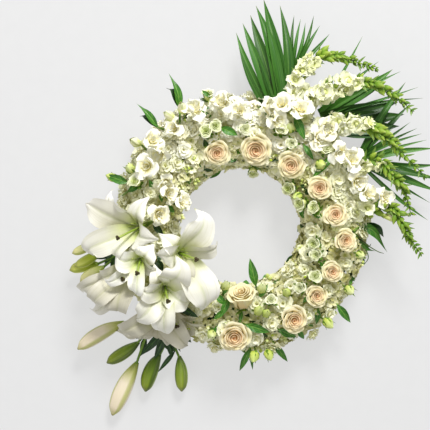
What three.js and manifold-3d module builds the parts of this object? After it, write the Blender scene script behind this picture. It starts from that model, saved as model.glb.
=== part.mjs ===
// A funeral wreath of fresh flowers, lying flat on its back with the flowers facing up.
//
// A plastic tray holds a ring of wet floral foam, and every stem is pushed into the foam. White lilies
// with hanging buds fill the lower left, cream roses follow the inner edge, freesias follow the upper
// edge, and snapdragons and palm leaves reach out at the upper right. Clumps of small white florets
// fill the ring between them.
//
// Millimetres, +Z up. Places are given from the centre of the foam ring at the height of the surface
// that the tray stands on. Angles are in degrees, counterclockwise from +X.

import * as THREE from 'three';
import { mergeVertices } from 'three/addons/utils/BufferGeometryUtils.js';
import Module from 'manifold-3d';

const wasm = await Module();
wasm.setup();

// ---------------------------------------------------------------- driving dimensions

const RING_RADIUS = 168; // middle of the foam ring
const FOAM_WIDTH = 71;
const FOAM_TOP = 50;
const TRAY_WALL = 2;
const TRAY_HEIGHT = 26;
const CLEARANCE = 0.3; // between pieces that rest on or in one another
const SWELLING = 0.6; // how far a piece's outline is grown before its neighbour is cut around it

const CLUMP_COUNT = 8;
const CLUMP_WIDTH = 112; // across the ring, over the flowers on both sides of the foam
const CLUMP_TOP = 78;
const CLUMP_FOOT = 14;
const CLUMP_RUFFLE = 5; // how deep the florets make the surface rise and fall

const STEM_DEPTH = 24; // how far stems go down into the foam
const ROSE_HEIGHT = 92; // of the middle of a rose head
const LILY_RADIUS = 88; // from the flower's axis to a petal's tip
const FREESIA_HEIGHT = 92;
const LISIANTHUS_HEIGHT = 88;

const FINISH = {
  tray: { color: '#1f3a24', roughness: 0.5, metalness: 0 },
  foam: { color: '#2f5a34', roughness: 0.95, metalness: 0 },
  floret: { color: '#ecebd9', roughness: 0.75, metalness: 0 },
  rose: { color: '#f0dcc0', roughness: 0.6, metalness: 0 },
  lily: { color: '#f4f3ec', roughness: 0.55, metalness: 0 },
  bud: { color: '#b9c36b', roughness: 0.55, metalness: 0 },
  freesia: { color: '#f8f4e2', roughness: 0.55, metalness: 0 },
  lisianthus: { color: '#d9e2a8', roughness: 0.6, metalness: 0 },
  snapdragon: { color: '#e9ecc8', roughness: 0.6, metalness: 0 },
  leaf: { color: '#2f7a33', roughness: 0.5, metalness: 0 },
};

// ---------------------------------------------------------------- small helpers

const radians = THREE.MathUtils.degToRad;

function at(x, y, z) {
  return new THREE.Vector3(x, y, z);
}

function onRing(angle, radius, z) {
  return at(radius * Math.cos(radians(angle)), radius * Math.sin(radians(angle)), z);
}

// The direction that leans away from straight up by tilt, towards azimuth.
function heading(azimuth, tilt) {
  return onRing(azimuth, Math.sin(radians(tilt)), Math.cos(radians(tilt)));
}

// The point of the foam that is nearest to a place, at a given height, clear of the foam's edges.
function inFoam(place, z) {
  const reach = FOAM_WIDTH / 2 - 10;
  const radius = Math.hypot(place.x, place.y);
  const nearest = THREE.MathUtils.clamp(radius, RING_RADIUS - reach, RING_RADIUS + reach);
  return at((place.x * nearest) / radius, (place.y * nearest) / radius, z);
}

// Turns a shape that stands on the origin along +Z so that it stands on base and points along aim.
function planted(geometry, base, aim, roll = 0) {
  const turn = new THREE.Quaternion().setFromUnitVectors(at(0, 0, 1), aim.clone().normalize());
  turn.multiply(new THREE.Quaternion().setFromAxisAngle(at(0, 0, 1), radians(roll)));
  geometry.applyMatrix4(new THREE.Matrix4().compose(base, turn, at(1, 1, 1)));
  return geometry;
}

// A number between -1 and 1 that is always the same for the same two counters.
function scatter(i, j) {
  const wave = Math.sin(i * 12.9898 + j * 78.233) * 43758.5453;
  return 2 * (wave - Math.floor(wave)) - 1;
}

// ---------------------------------------------------------------- basic shapes

// A closed shape turned around the Z axis: the outline starts and ends on the axis.
function turned(outline, sides) {
  const points = outline.map(([radius, z]) => new THREE.Vector2(radius, z));
  return new THREE.LatheGeometry(points, sides).rotateX(Math.PI / 2);
}

function stem(points, radius, sides, steps) {
  const section = new THREE.Shape();
  for (let i = 0; i < sides; i += 1) {
    const turn = (i / sides) * 2 * Math.PI;
    section[i === 0 ? 'moveTo' : 'lineTo'](radius * Math.cos(turn), radius * Math.sin(turn));
  }
  const extrudePath = new THREE.CatmullRomCurve3(points);
  return new THREE.ExtrudeGeometry(section, { steps, extrudePath, bevelEnabled: false });
}

// Joins rings of points into one closed skin; caps are the triangles that close its two ends.
function lofted(rings, caps) {
  const count = rings[0].length;
  const positions = rings.flat().flatMap((point) => [point.x, point.y, point.z]);
  const index = [];
  for (let ring = 0; ring < rings.length - 1; ring += 1) {
    for (let i = 0; i < count; i += 1) {
      const a = ring * count + i;
      const b = ring * count + ((i + 1) % count);
      index.push(a, b, b + count, a, b + count, a + count);
    }
  }
  const last = (rings.length - 1) * count;
  for (const [a, b, c] of caps) {
    index.push(a, c, b, last + a, last + b, last + c);
  }
  const geometry = new THREE.BufferGeometry();
  geometry.setAttribute('position', new THREE.Float32BufferAttribute(positions, 3));
  geometry.setIndex(index);
  return geometry;
}

// A leaf or petal: a spine of points, its half width at each, and a shallow V section.
// side is the direction across it, and cup lifts its edges above its midrib.
function blade(spine, halfWidths, { side, thickness = 2.4, cup = 0.15 }) {
  const rings = spine.map((point, i) => {
    const before = spine[Math.max(i - 1, 0)];
    const after = spine[Math.min(i + 1, spine.length - 1)];
    const along = after.clone().sub(before).normalize();
    const across = side.clone().addScaledVector(along, -side.dot(along)).normalize();
    const up = across.clone().cross(along).negate();
    const edgeLift = up.clone().multiplyScalar(cup * halfWidths[i]);
    const half = across.multiplyScalar(halfWidths[i]);
    return [
      point.clone().sub(half).add(edgeLift),
      point.clone().addScaledVector(up, thickness / 2),
      point.clone().add(half).add(edgeLift),
      point.clone().addScaledVector(up, -thickness / 2),
    ];
  });
  return lofted(rings, [[0, 1, 3], [1, 2, 3]]);
}

// ---------------------------------------------------------------- solids

function mergedSkin(geometry) {
  const skin = new THREE.BufferGeometry();
  skin.setAttribute('position', geometry.getAttribute('position').clone());
  if (geometry.index) skin.setIndex(geometry.index.clone());
  return mergeVertices(skin, 1e-3);
}

function toSolid(geometry) {
  const skin = mergedSkin(geometry);
  const faces = [];
  const corner = skin.index.array;
  for (let i = 0; i < corner.length; i += 3) {
    const [a, b, c] = [corner[i], corner[i + 1], corner[i + 2]];
    if (a !== b && b !== c && c !== a) faces.push(a, b, c);
  }
  const mesh = { numProp: 3, vertProperties: new Float32Array(skin.getAttribute('position').array) };
  const solid = new wasm.Manifold(new wasm.Mesh({ ...mesh, triVerts: new Uint32Array(faces) }));
  if (solid.volume() > 0) return solid;
  return new wasm.Manifold(new wasm.Mesh({ ...mesh, triVerts: new Uint32Array(faces.reverse()) }));
}

function signedVolume(skin) {
  const place = skin.getAttribute('position');
  const corner = skin.index.array;
  let volume = 0;
  for (let i = 0; i < corner.length; i += 3) {
    const [a, b, c] = [0, 1, 2].map((k) => new THREE.Vector3().fromBufferAttribute(place, corner[i + k]));
    volume += a.dot(b.cross(c)) / 6;
  }
  return volume;
}

function swollen(geometry) {
  const skin = mergedSkin(geometry);
  skin.computeVertexNormals();
  const place = skin.getAttribute('position');
  const normal = skin.getAttribute('normal');
  const outward = signedVolume(skin) > 0 ? SWELLING : -SWELLING;
  for (let i = 0; i < place.count; i += 1) {
    place.setXYZ(
      i,
      place.getX(i) + outward * normal.getX(i),
      place.getY(i) + outward * normal.getY(i),
      place.getZ(i) + outward * normal.getZ(i),
    );
  }
  return skin;
}

function joined(shapes) {
  return shapes.map(toSolid).reduce((whole, part) => whole.add(part));
}

function largestBody(solid) {
  return solid.decompose().reduce((best, body) => (body.volume() > best.volume() ? body : best));
}

function toGeometry(solid) {
  const mesh = solid.getMesh();
  const geometry = new THREE.BufferGeometry();
  geometry.setAttribute('position', new THREE.BufferAttribute(mesh.vertProperties, 3));
  geometry.setIndex(new THREE.BufferAttribute(mesh.triVerts, 1));
  return geometry;
}

function boxesMeet(first, second) {
  return [0, 1, 2].every((k) => first.min[k] < second.max[k] && second.min[k] < first.max[k]);
}

// The pieces, in the order in which they claim their room: each one keeps clear of the growing pieces
// before it. The clumps, the foam and the tray are clear of one another as they are.
const pieces = [];

function addPiece(name, finish, shapes) {
  pieces.push({ name, finish, shapes, claimsRoom: true });
}

function addBase(name, finish, shape) {
  pieces.push({ name, finish, shapes: [shape], claimsRoom: false });
}

// ---------------------------------------------------------------- lilies

// Where each flower's base is, where it faces, how far it is turned about its own axis, and how far
// its petals spread.
const LILIES = [
  { base: at(-158, 12, 96), azimuth: 196, tilt: 40, roll: 10, spread: 1 },
  { base: at(-150, -34, 84), azimuth: -8, tilt: 42, roll: 36, spread: 0.95 },
  { base: at(-178, -16, 70), azimuth: 262, tilt: 42, roll: 8, spread: 0.9 },
  { base: at(-146, -84, 84), azimuth: 300, tilt: 28, roll: 20, spread: 0.9 },
  { base: at(-190, -60, 56), azimuth: 222, tilt: 52, roll: 15, spread: 0.9 },
  { base: at(-142, -114, 64), azimuth: 258, tilt: 50, roll: 30, spread: 0.9 },
  { base: at(-128, -142, 64), azimuth: 286, tilt: 72, roll: 12, spread: 0.6 },
];

const LILY_FUNNEL = [[0, -2], [3.5, -2], [8, 18], [14, 38], [0, 33]];
// A petal's spine, as distance from the flower's axis and height over its base.
const LILY_PETAL = [[0.08, 24], [0.48, 58], [0.8, 64], [1, 50]];
const LILY_CLOSING = 36; // how much higher the petals of a flower that hardly spreads reach
const LILY_WIDTHS = { inner: [4, 22, 16, 1.5], outer: [3.5, 15, 12, 1.5] };
const LILY_STYLE = [at(0, 0, 26), at(4, 0, 55), at(9, 0, 82)];

function lilyPetal(turn, halfWidths, lift, spread) {
  const direction = onRing(turn, 1, 0);
  const spine = LILY_PETAL.map(([out, height]) => {
    const closing = (1 - spread) * LILY_CLOSING * (out - LILY_PETAL[0][0]);
    const reach = THREE.MathUtils.lerp(LILY_PETAL[0][0], out, spread) * LILY_RADIUS;
    return direction.clone().multiplyScalar(reach).setZ(height + lift + closing);
  });
  const narrowed = halfWidths.map((halfWidth) => halfWidth * THREE.MathUtils.lerp(0.4, 1, spread));
  return blade(spine, narrowed, { side: onRing(turn + 90, 1, 0), thickness: 2.6, cup: 0.22 });
}

function lilyFlower(spread) {
  const shapes = [turned(LILY_FUNNEL, 6), stem(LILY_STYLE, 2, 3, 2)];
  shapes.push(turned([[0, -1], [4, 2], [0, 5]], 3).translate(9, 0, 80));
  for (let i = 0; i < 3; i += 1) {
    shapes.push(lilyPetal(i * 120, LILY_WIDTHS.outer, -3, spread));
    shapes.push(lilyPetal(i * 120 + 60, LILY_WIDTHS.inner, 0, spread));
  }
  return shapes;
}

LILIES.forEach(({ base, azimuth, tilt, roll, spread }, i) => {
  const aim = heading(azimuth, tilt);
  const shapes = lilyFlower(spread).map((shape) => planted(shape, base, aim, roll));
  const stalk = [inFoam(base, STEM_DEPTH), inFoam(base, FOAM_TOP - 4), base.clone().addScaledVector(aim, 3)];
  shapes.push(stem(stalk, 3, 4, 4));
  addPiece(`lily_${i + 1}`, FINISH.lily, shapes);
});

// ---------------------------------------------------------------- lily buds

// Each stem leaves the foam, passes its fork and carries buds: [bud's foot, bud's tip, half width].
const LILY_BUD_STEMS = [
  {
    name: 'lily_buds_left',
    root: onRing(194, 186, STEM_DEPTH),
    fork: at(-222, -50, 46),
    buds: [
      [at(-266, -30, 62), at(-308, -50, 58), 8],
      [at(-258, -46, 44), at(-305, -74, 40), 10],
      [at(-262, -70, 30), at(-316, -82, 28), 11],
      [at(-250, -78, 50), at(-289, -104, 44), 11],
    ],
  },
  {
    name: 'lily_buds_front',
    root: onRing(224, 188, STEM_DEPTH),
    fork: at(-170, -186, 40),
    buds: [
      [at(-214, -176, 48), at(-300, -226, 38), 14],
      [at(-188, -214, 28), at(-248, -253, 22), 12],
      [at(-192, -252, 20), at(-238, -350, 19), 16],
    ],
  },
  {
    name: 'lily_buds_right',
    root: onRing(231, 186, STEM_DEPTH),
    fork: at(-132, -202, 34),
    buds: [
      [at(-150, -236, 24), at(-177, -306, 20), 14],
      [at(-114, -240, 24), at(-110, -306, 18), 12],
    ],
  },
];

function longBud(foot, tip, halfWidth) {
  const length = foot.distanceTo(tip);
  const outline = [[0, 0], [0.5, 0.06], [1, 0.45], [0.75, 0.8], [0, 1]];
  const shape = turned(outline.map(([r, z]) => [r * halfWidth, z * length]), 6);
  return planted(shape, foot, tip.clone().sub(foot));
}

for (const { name, root, fork, buds } of LILY_BUD_STEMS) {
  const shapes = [stem([root, root.clone().setZ(FOAM_TOP - 8), fork], 3.2, 4, 4)];
  for (const [foot, tip, halfWidth] of buds) {
    const inside = foot.clone().lerp(tip, 0.12);
    shapes.push(stem([fork, fork.clone().lerp(foot, 0.5).setZ(fork.z + 3), inside], 2.4, 3, 2));
    shapes.push(longBud(foot, tip, halfWidth));
  }
  addPiece(name, FINISH.bud, shapes);
}

// ---------------------------------------------------------------- roses

// Angle and distance on the ring, and the head's diameter. A rose leans away from the ring's middle.
const ROSES = [
  [109, 141, 48], [80, 141, 60], [51, 142, 50], [26, 155, 44], [7, 168, 43], [352, 185, 41],
  [333, 180, 39], [317, 181, 40], [299, 189, 50], [266, 195, 58],
];
const ROSE_LEAN = 0.6; // degrees for each millimetre away from the ring's middle
const SIDEWAYS_ROSE = { angle: 270, radius: 128, diameter: 44, azimuth: 100, tilt: 58 };

// The head's outline: three rings of petals around a closed heart, for a head of radius 1.
const ROSE_OUTLINE = [
  [0, -0.8], [0.7, -0.45], [1, 0.34], [0.76, 0.14], [0.62, 0.58], [0.42, 0.3], [0, 0.64],
];

function roseHead(diameter) {
  const head = turned(ROSE_OUTLINE.map(([r, z]) => [(r * diameter) / 2, (z * diameter) / 2]), 10);
  const place = head.getAttribute('position');
  for (let i = 0; i < place.count; i += 1) {
    const turn = Math.atan2(place.getY(i), place.getX(i));
    const petal = 1 + 0.05 * Math.cos(5 * turn);
    place.setXY(i, place.getX(i) * petal, place.getY(i) * petal);
  }
  return head;
}

function addRose(name, middle, aim, diameter) {
  const foot = middle.clone().addScaledVector(aim, -0.36 * diameter);
  const stalk = [inFoam(foot, STEM_DEPTH), inFoam(foot, FOAM_TOP - 8), foot];
  addPiece(name, FINISH.rose, [planted(roseHead(diameter), middle, aim), stem(stalk, 2.6, 4, 3)]);
}

ROSES.forEach(([angle, radius, diameter], i) => {
  const lean = ROSE_LEAN * (radius - RING_RADIUS);
  addRose(`rose_${i + 1}`, onRing(angle, radius, ROSE_HEIGHT), heading(angle, lean), diameter);
});
addRose(
  `rose_${ROSES.length + 1}`,
  onRing(SIDEWAYS_ROSE.angle, SIDEWAYS_ROSE.radius, ROSE_HEIGHT),
  heading(SIDEWAYS_ROSE.azimuth, SIDEWAYS_ROSE.tilt),
  SIDEWAYS_ROSE.diameter,
);

// ---------------------------------------------------------------- freesias

// Each stem's place in the foam and its florets' places; the last ones may be closed buds.
const FREESIAS = [
  { root: [121, 196], florets: [[-85, 194], [-112, 173], [-139, 140]], buds: [[-126, 204], [-112, 213]] },
  { root: [142, 196], florets: [[-166, 146], [-166, 108], [-142, 90]], buds: [[-193, 153]] },
  { root: [164, 186], florets: [[-142, 60], [-122, 40], [-158, 24]], buds: [] },
  { root: [95, 192], florets: [[-31, 212], [-2, 200], [34, 212]], buds: [] },
  { root: [64, 196], florets: [[72, 206], [104, 196], [137, 176]], buds: [] },
  { root: [36, 194], florets: [[158, 155], [170, 134], [190, 110], [200, 84]], buds: [] },
  { root: [14, 198], florets: [[218, 50], [246, 46]], buds: [[252, 18]] },
];

const FREESIA_TRUMPET = [[0, 0], [5, 14], [20, 31], [0, 21]];
const FREESIA_BUD = [[0, 0], [5, 12], [0, 24]];

const FREESIA_LEAN = 0.012; // how much a head leans out for each millimetre from its stem

function freesiaHead(outline, hub, x, y) {
  const foot = at(x, y, FREESIA_HEIGHT - 6);
  const aim = foot.clone().sub(hub).multiplyScalar(FREESIA_LEAN).setZ(1).normalize();
  const stalk = stem([hub.clone().setZ(hub.z - 3), foot.clone().addScaledVector(aim, 6)], 2, 3, 1);
  return [stalk, planted(turned(outline, 5), foot, aim)];
}

FREESIAS.forEach(({ root, florets, buds }, i) => {
  const [angle, radius] = root;
  const hub = onRing(angle, radius, FREESIA_HEIGHT - 6);
  const shapes = [stem([onRing(angle, radius, STEM_DEPTH), hub], 2.6, 4, 1)];
  for (const [x, y] of florets) shapes.push(...freesiaHead(FREESIA_TRUMPET, hub, x, y));
  for (const [x, y] of buds) shapes.push(...freesiaHead(FREESIA_BUD, hub, x, y));
  addPiece(`freesia_${i + 1}`, FINISH.freesia, shapes);
});

// ---------------------------------------------------------------- snapdragons

// The stalk's route from the foam outwards. Open florets sit on its first part, up to the share of
// its length that open gives, and green buds on the rest.
const SNAPDRAGONS = [
  { route: [[70, 178], [92, 238], [114, 284], [140, 302], [172, 302], [208, 292], [238, 281]], open: 0.5 },
  { route: [[100, 182], [122, 226], [160, 240], [204, 250], [240, 242], [274, 226], [302, 204]], open: 0.62 },
  { route: [[132, 154], [158, 182], [196, 184], [230, 174], [262, 152], [292, 124], [326, 90]], open: 0.58 },
  { route: [[170, 92], [208, 112], [244, 118], [266, 92], [282, 74], [293, 54], [301, 24]], open: 0.45 },
  { route: [[184, 46], [224, 28], [262, 34], [280, 14], [292, -10], [304, -28], [318, -48]], open: 0.35 },
];
const SNAP_STALK = 2.6; // half widths of the bare stalk, of a floret's lobes and of the buds
const SNAP_LOBE = 12;
const SNAP_WAIST = 5;
const SNAP_BUD = 6;
const SNAP_SIDES = 5;
const SNAP_PITCH = 11; // from one whorl of florets to the next

function snapdragonStalk(route) {
  return route.map(([x, y], i) => {
    const reach = i / (route.length - 1);
    return at(x, y, 60 + 54 * Math.sin(Math.PI * Math.min(reach * 0.9, 0.7)) - 8 * reach);
  });
}

function spikeHalfWidth(reach, lobe, open) {
  if (reach < 0.2) return SNAP_STALK;
  if (reach < open) return lobe ? SNAP_LOBE : SNAP_WAIST;
  const youth = (reach - open) / (1 - open);
  return THREE.MathUtils.lerp(lobe ? SNAP_BUD : SNAP_STALK, 1, youth);
}

function spike(stalk, open) {
  const curve = new THREE.CatmullRomCurve3(stalk);
  const whorls = Math.round(curve.getLength() / SNAP_PITCH);
  const rings = [];
  for (let k = 0; k <= whorls; k += 1) {
    const along = curve.getTangent(k / whorls);
    const across = at(0, 0, 1).cross(along).normalize();
    const up = along.clone().cross(across);
    rings.push(Array.from({ length: SNAP_SIDES }, (_, i) => {
      const turn = (i / SNAP_SIDES) * 2 * Math.PI;
      const out = spikeHalfWidth(k / whorls, (i + k) % 2 === 0, open);
      const place = curve.getPoint(k / whorls).addScaledVector(across, out * Math.cos(turn));
      return place.addScaledVector(up, out * Math.sin(turn));
    }));
  }
  return lofted(rings, [[0, 1, 2], [0, 2, 3], [0, 3, 4]]);
}

SNAPDRAGONS.forEach(({ route, open }, i) => {
  const stalk = snapdragonStalk(route);
  const root = inFoam(stalk[0], STEM_DEPTH);
  const inside = stalk[0].clone().lerp(stalk[1], 0.1);
  addPiece(`snapdragon_${i + 1}`, FINISH.snapdragon, [stem([root, inside], 2.2, 4, 1), spike(stalk, open)]);
});

// ---------------------------------------------------------------- lisianthus

// Each stem's place in the foam, its buds' places, and its leaves as [foot, tip, half width].
const LISIANTHUS = [
  { root: [107, 190], buds: [[-63, 166], [-49, 177], [-52, 218], [-60, 233]] },
  { root: [76, 184], buds: [[2, 172], [65, 167], [88, 170], [90, 149]] },
  { root: [40, 190], buds: [[143, 134], [136, 112]] },
  { root: [38.8, 144], buds: [[91, 73], [106, 56], [114, 43]] },
  { root: [358, 148], buds: [[137, 30], [133, -30]] },
  { root: [322, 152], buds: [[137, -52], [131, -92], [108, -110], [81, -122]] },
  { root: [279, 160], buds: [[31, -122], [34, -162]], leaves: [[at(25, -108, 78), at(14, -58, 84), 8]] },
  {
    root: [277, 194],
    buds: [[45, -224], [24, -226]],
    leaves: [[at(14, -222, 68), at(-4, -264, 52), 6], [at(58, -212, 64), at(84, -248, 46), 6]],
  },
  { root: [254, 162], buds: [[-38, -121], [-56, -191]] },
  {
    root: [337, 200],
    buds: [[207, -50], [188, -110], [148, -168]],
    leaves: [[at(172, -142, 70), at(198, -176, 54), 7]],
  },
  {
    root: [152, 197],
    buds: [[-197, 99], [-226, 85], [-184, 74]],
    leaves: [[at(-206, 78, 76), at(-246, 92, 64), 8]],
  },
];
const LISIANTHUS_BUD = [[0, 0], [8, 5], [8, 15], [0, 19]];
const LISIANTHUS_DROOP = 1.1; // how far a bud hangs down for each millimetre past the ring's edges

function leafShapes(hub, [foot, tip, halfWidth]) {
  const bend = foot.clone().lerp(tip, 0.45).add(at(0, 0, 5));
  const along = tip.clone().sub(foot);
  const side = at(-along.y, along.x, 0).normalize();
  return [
    stem([hub, foot, foot.clone().lerp(bend, 0.4)], 1.8, 3, 2),
    blade([foot, bend, tip], [1.5, halfWidth, 0.8], { side, thickness: 2, cup: 0.2 }),
  ];
}

LISIANTHUS.forEach(({ root, buds, leaves = [] }, i) => {
  const [angle, radius] = root;
  const hub = onRing(angle, radius, LISIANTHUS_HEIGHT - 2);
  const shapes = [stem([onRing(angle, radius, STEM_DEPTH), hub.clone().add(at(0, 0, 3))], 2.4, 4, 1)];
  for (const [x, y] of buds) {
    const fromMiddle = Math.hypot(x, y) - RING_RADIUS;
    const pastEdge = Math.max(Math.abs(fromMiddle) - 42, 0);
    const foot = at(x, y, LISIANTHUS_HEIGHT - LISIANTHUS_DROOP * pastEdge);
    shapes.push(stem([hub, foot.clone().add(at(0, 0, 3))], 2, 3, 1));
    const aim = at(x, y, 0).normalize().multiplyScalar(fromMiddle / 60).setZ(1);
    shapes.push(planted(turned(LISIANTHUS_BUD, 5), foot, aim));
  }
  for (const leaf of leaves) shapes.push(...leafShapes(hub, leaf));
  addPiece(`lisianthus_${i + 1}`, FINISH.lisianthus, shapes);
});

// ---------------------------------------------------------------- long leaves

// Each stem's place in the foam and its leaves, as [foot, bend, tip, half width].
const LEAF_STEMS = [
  {
    name: 'long_leaves_upper_left',
    root: [124, 200],
    leaves: [
      [at(-120, 214, 74), at(-122, 244, 82), at(-132, 274, 78), 10],
      [at(-152, 178, 74), at(-168, 200, 78), at(-190, 221, 72), 8],
    ],
  },
  {
    name: 'long_leaves_right',
    root: [357, 200],
    leaves: [
      [at(214, 0, 70), at(238, -10, 76), at(264, -48, 62), 11],
      [at(210, -22, 66), at(226, -40, 62), at(243, -46, 56), 5],
    ],
  },
];

for (const { name, root, leaves } of LEAF_STEMS) {
  const hub = onRing(root[0], root[1], LISIANTHUS_HEIGHT - 4);
  const shapes = [stem([onRing(root[0], root[1], STEM_DEPTH), hub], 2.6, 4, 1)];
  for (const [foot, bend, tip, halfWidth] of leaves) {
    const along = tip.clone().sub(foot);
    const side = at(-along.y, along.x, 0).normalize();
    shapes.push(stem([hub.clone().setZ(hub.z - 2), foot, foot.clone().lerp(bend, 0.3)], 2.2, 3, 2));
    shapes.push(blade([foot, bend, tip], [3, halfWidth, 0.8], { side, thickness: 2, cup: 0.25 }));
  }
  addPiece(name, FINISH.leaf, shapes);
}

// ---------------------------------------------------------------- palm leaves

// Each leaf's place in the foam, the hub that its fingers spread from, the fingers' tips in order
// around the hub, and how much of their length is joined in a plate.
const PALMS = [
  {
    root: [80, 196],
    hub: at(54, 226, 44),
    tips: [[-6, 322], [-12, 353], [10, 366], [18, 386], [27, 402], [40, 414], [70, 401]],
    plate: 0.42,
  },
  {
    root: [66, 198],
    hub: at(98, 286, 42),
    tips: [[96, 385], [110, 380], [132, 384], [144, 367], [160, 351], [161, 326]],
    plate: 0.2,
  },
  {
    root: [50, 200],
    hub: at(150, 200, 44),
    tips: [[221, 346], [270, 281], [290, 280], [304, 268], [320, 253], [331, 230], [331, 168], [268, 164]],
    plate: 0.55,
  },
  {
    root: [28, 200],
    hub: at(226, 122, 44),
    tips: [[322, 178], [340, 152], [354, 128], [360, 102], [358, 76], [350, 48], [334, 16]],
    plate: 0.3,
  },
];
const PALM_THICKNESS = 1.8;
const PALM_ARCH = 10; // how far a finger rises before it droops again to its tip

function palmFan(hub, tips, plate) {
  const centre = new THREE.Vector2(hub.x, hub.y);
  const ends = tips.map(([x, y]) => new THREE.Vector2(x, y));
  const outline = [centre];
  ends.forEach((end, i) => {
    outline.push(end);
    if (i === ends.length - 1) return;
    const between = end.clone().add(ends[i + 1]).multiplyScalar(0.5);
    outline.push(centre.clone().lerp(between, plate));
  });
  const fan = new THREE.ExtrudeGeometry(new THREE.Shape(outline), { depth: PALM_THICKNESS, bevelEnabled: false });
  const longest = Math.max(...ends.map((end) => end.distanceTo(centre)));
  const place = fan.getAttribute('position');
  for (let i = 0; i < place.count; i += 1) {
    const out = Math.hypot(place.getX(i) - hub.x, place.getY(i) - hub.y) / longest;
    place.setZ(i, place.getZ(i) + hub.z + PALM_ARCH * Math.sin(Math.PI * Math.min(out * 1.2, 1)));
  }
  return fan;
}

PALMS.forEach(({ root, hub, tips, plate }, i) => {
  const foot = onRing(root[0], root[1], STEM_DEPTH + 4);
  const middle = ([x, y]) => at(x, y, hub.z);
  const inside = hub.clone().lerp(middle(tips[Math.floor(tips.length / 2)]), 0.12);
  const shapes = [stem([foot, foot.clone().setZ(FOAM_TOP - 10), hub, inside], 2.6, 4, 4)];
  shapes.push(palmFan(hub, tips, plate));
  addPiece(`palm_leaf_${i + 1}`, FINISH.leaf, shapes);
});

// ---------------------------------------------------------------- clumps of small florets

// An arch over the foam: its outside is ruffled by the florets, its inside clears foam and tray.
// Under the lilies the florets are fewer, so the arch is lower and narrower there.
const CLUMP_OUTSIDE = [
  [-1, 0], [-1.02, 0.45], [-0.75, 0.85], [-0.3, 1], [0.3, 1], [0.75, 0.85], [1.02, 0.45], [1, 0],
];
const CLUMP_STEPS = 4;
const LILY_ANGLE = 205;
const LILY_ARC = 75; // how far the lilies reach to both sides of that angle
const THINNING = 0.16;

function fullness(angle) {
  const away = Math.min(Math.abs(angle - LILY_ANGLE) / LILY_ARC, 1);
  return 1 - THINNING * Math.cos((away * Math.PI) / 2);
}

function clump(startAngle, endAngle) {
  const inside = FOAM_WIDTH / 2 + TRAY_WALL + 2 * CLEARANCE;
  const outside = CLUMP_OUTSIDE.map(([across, up]) => [
    (across * CLUMP_WIDTH) / 2,
    CLUMP_FOOT + up * (CLUMP_TOP - CLUMP_FOOT),
  ]);
  const roof = FOAM_TOP + CLEARANCE;
  const section = [...outside, [inside, CLUMP_FOOT], [inside, roof], [-inside, roof], [-inside, CLUMP_FOOT]];
  const flat = section.map(([across, z]) => new THREE.Vector2(across, z));
  const caps = THREE.ShapeUtils.triangulateShape(flat, []).map(([a, b, c]) => [a, c, b]);
  const rings = [];
  for (let k = 0; k <= CLUMP_STEPS; k += 1) {
    const angle = startAngle + ((endAngle - startAngle) * k) / CLUMP_STEPS;
    rings.push(section.map(([across, z], i) => {
      const ruffled = i > 0 && i < outside.length - 1 && k > 0 && k < CLUMP_STEPS;
      const bump = ruffled ? CLUMP_RUFFLE * scatter(Math.round(angle), i) : 0;
      const full = i < outside.length ? fullness(angle) : 1;
      const out = across * full + Math.sign(across) * bump * 0.5;
      return onRing(angle, RING_RADIUS + out, CLUMP_FOOT + (z - CLUMP_FOOT) * full + bump);
    }));
  }
  return lofted(rings, caps);
}

for (let i = 0; i < CLUMP_COUNT; i += 1) {
  const span = 360 / CLUMP_COUNT;
  const gapAngle = THREE.MathUtils.radToDeg(CLEARANCE / (RING_RADIUS - CLUMP_WIDTH / 2));
  addBase(`floret_clump_${i + 1}`, FINISH.floret, clump(i * span + gapAngle, (i + 1) * span - gapAngle));
}

// ---------------------------------------------------------------- foam ring and tray

const RING_SIDES = CLUMP_COUNT * CLUMP_STEPS; // so that flat sides lie along flat sides

// A closed outline, turned around the ring's axis; points are [across the ring, height].
function ringOf(outline) {
  const points = outline.map(([across, z]) => new THREE.Vector2(RING_RADIUS + across, z));
  return new THREE.LatheGeometry([...points, points[0]], RING_SIDES).rotateX(Math.PI / 2);
}

const halfFoam = FOAM_WIDTH / 2;
const foamFoot = TRAY_WALL + CLEARANCE;
addBase('foam_ring', FINISH.foam, ringOf([
  [-halfFoam, foamFoot], [halfFoam, foamFoot], [halfFoam, FOAM_TOP - 6], [halfFoam - 6, FOAM_TOP],
  [6 - halfFoam, FOAM_TOP], [-halfFoam, FOAM_TOP - 6],
]));

const trayInside = halfFoam + CLEARANCE;
const trayOutside = trayInside + TRAY_WALL;
addBase('tray', FINISH.tray, ringOf([
  [-trayOutside, 0], [trayOutside, 0], [trayOutside, TRAY_HEIGHT], [trayInside, TRAY_HEIGHT],
  [trayInside, TRAY_WALL], [-trayInside, TRAY_WALL], [-trayInside, TRAY_HEIGHT], [-trayOutside, TRAY_HEIGHT],
]));

// ---------------------------------------------------------------- the wreath

const wreath = new THREE.Group();
const placed = [];
for (const { name, finish, shapes, claimsRoom } of pieces) {
  let solid = joined(shapes);
  for (const other of placed) {
    if (boxesMeet(solid.boundingBox(), other.box)) solid = solid.subtract(other.room);
  }
  solid = largestBody(solid);
  if (claimsRoom) {
    const room = joined([...shapes, ...shapes.map(swollen)]);
    placed.push({ room, box: room.boundingBox() });
  }
  const mesh = new THREE.Mesh(toGeometry(solid), new THREE.MeshStandardMaterial(finish));
  mesh.name = name;
  wreath.add(mesh);
}

// The origin is under the middle of the whole wreath, on the surface that it lies on.
const whole = new THREE.Box3().setFromObject(wreath);
const middle = whole.getCenter(new THREE.Vector3());
wreath.position.set(-middle.x, -middle.y, -whole.min.z);
wreath.updateMatrixWorld(true);

export default wreath;
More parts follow.
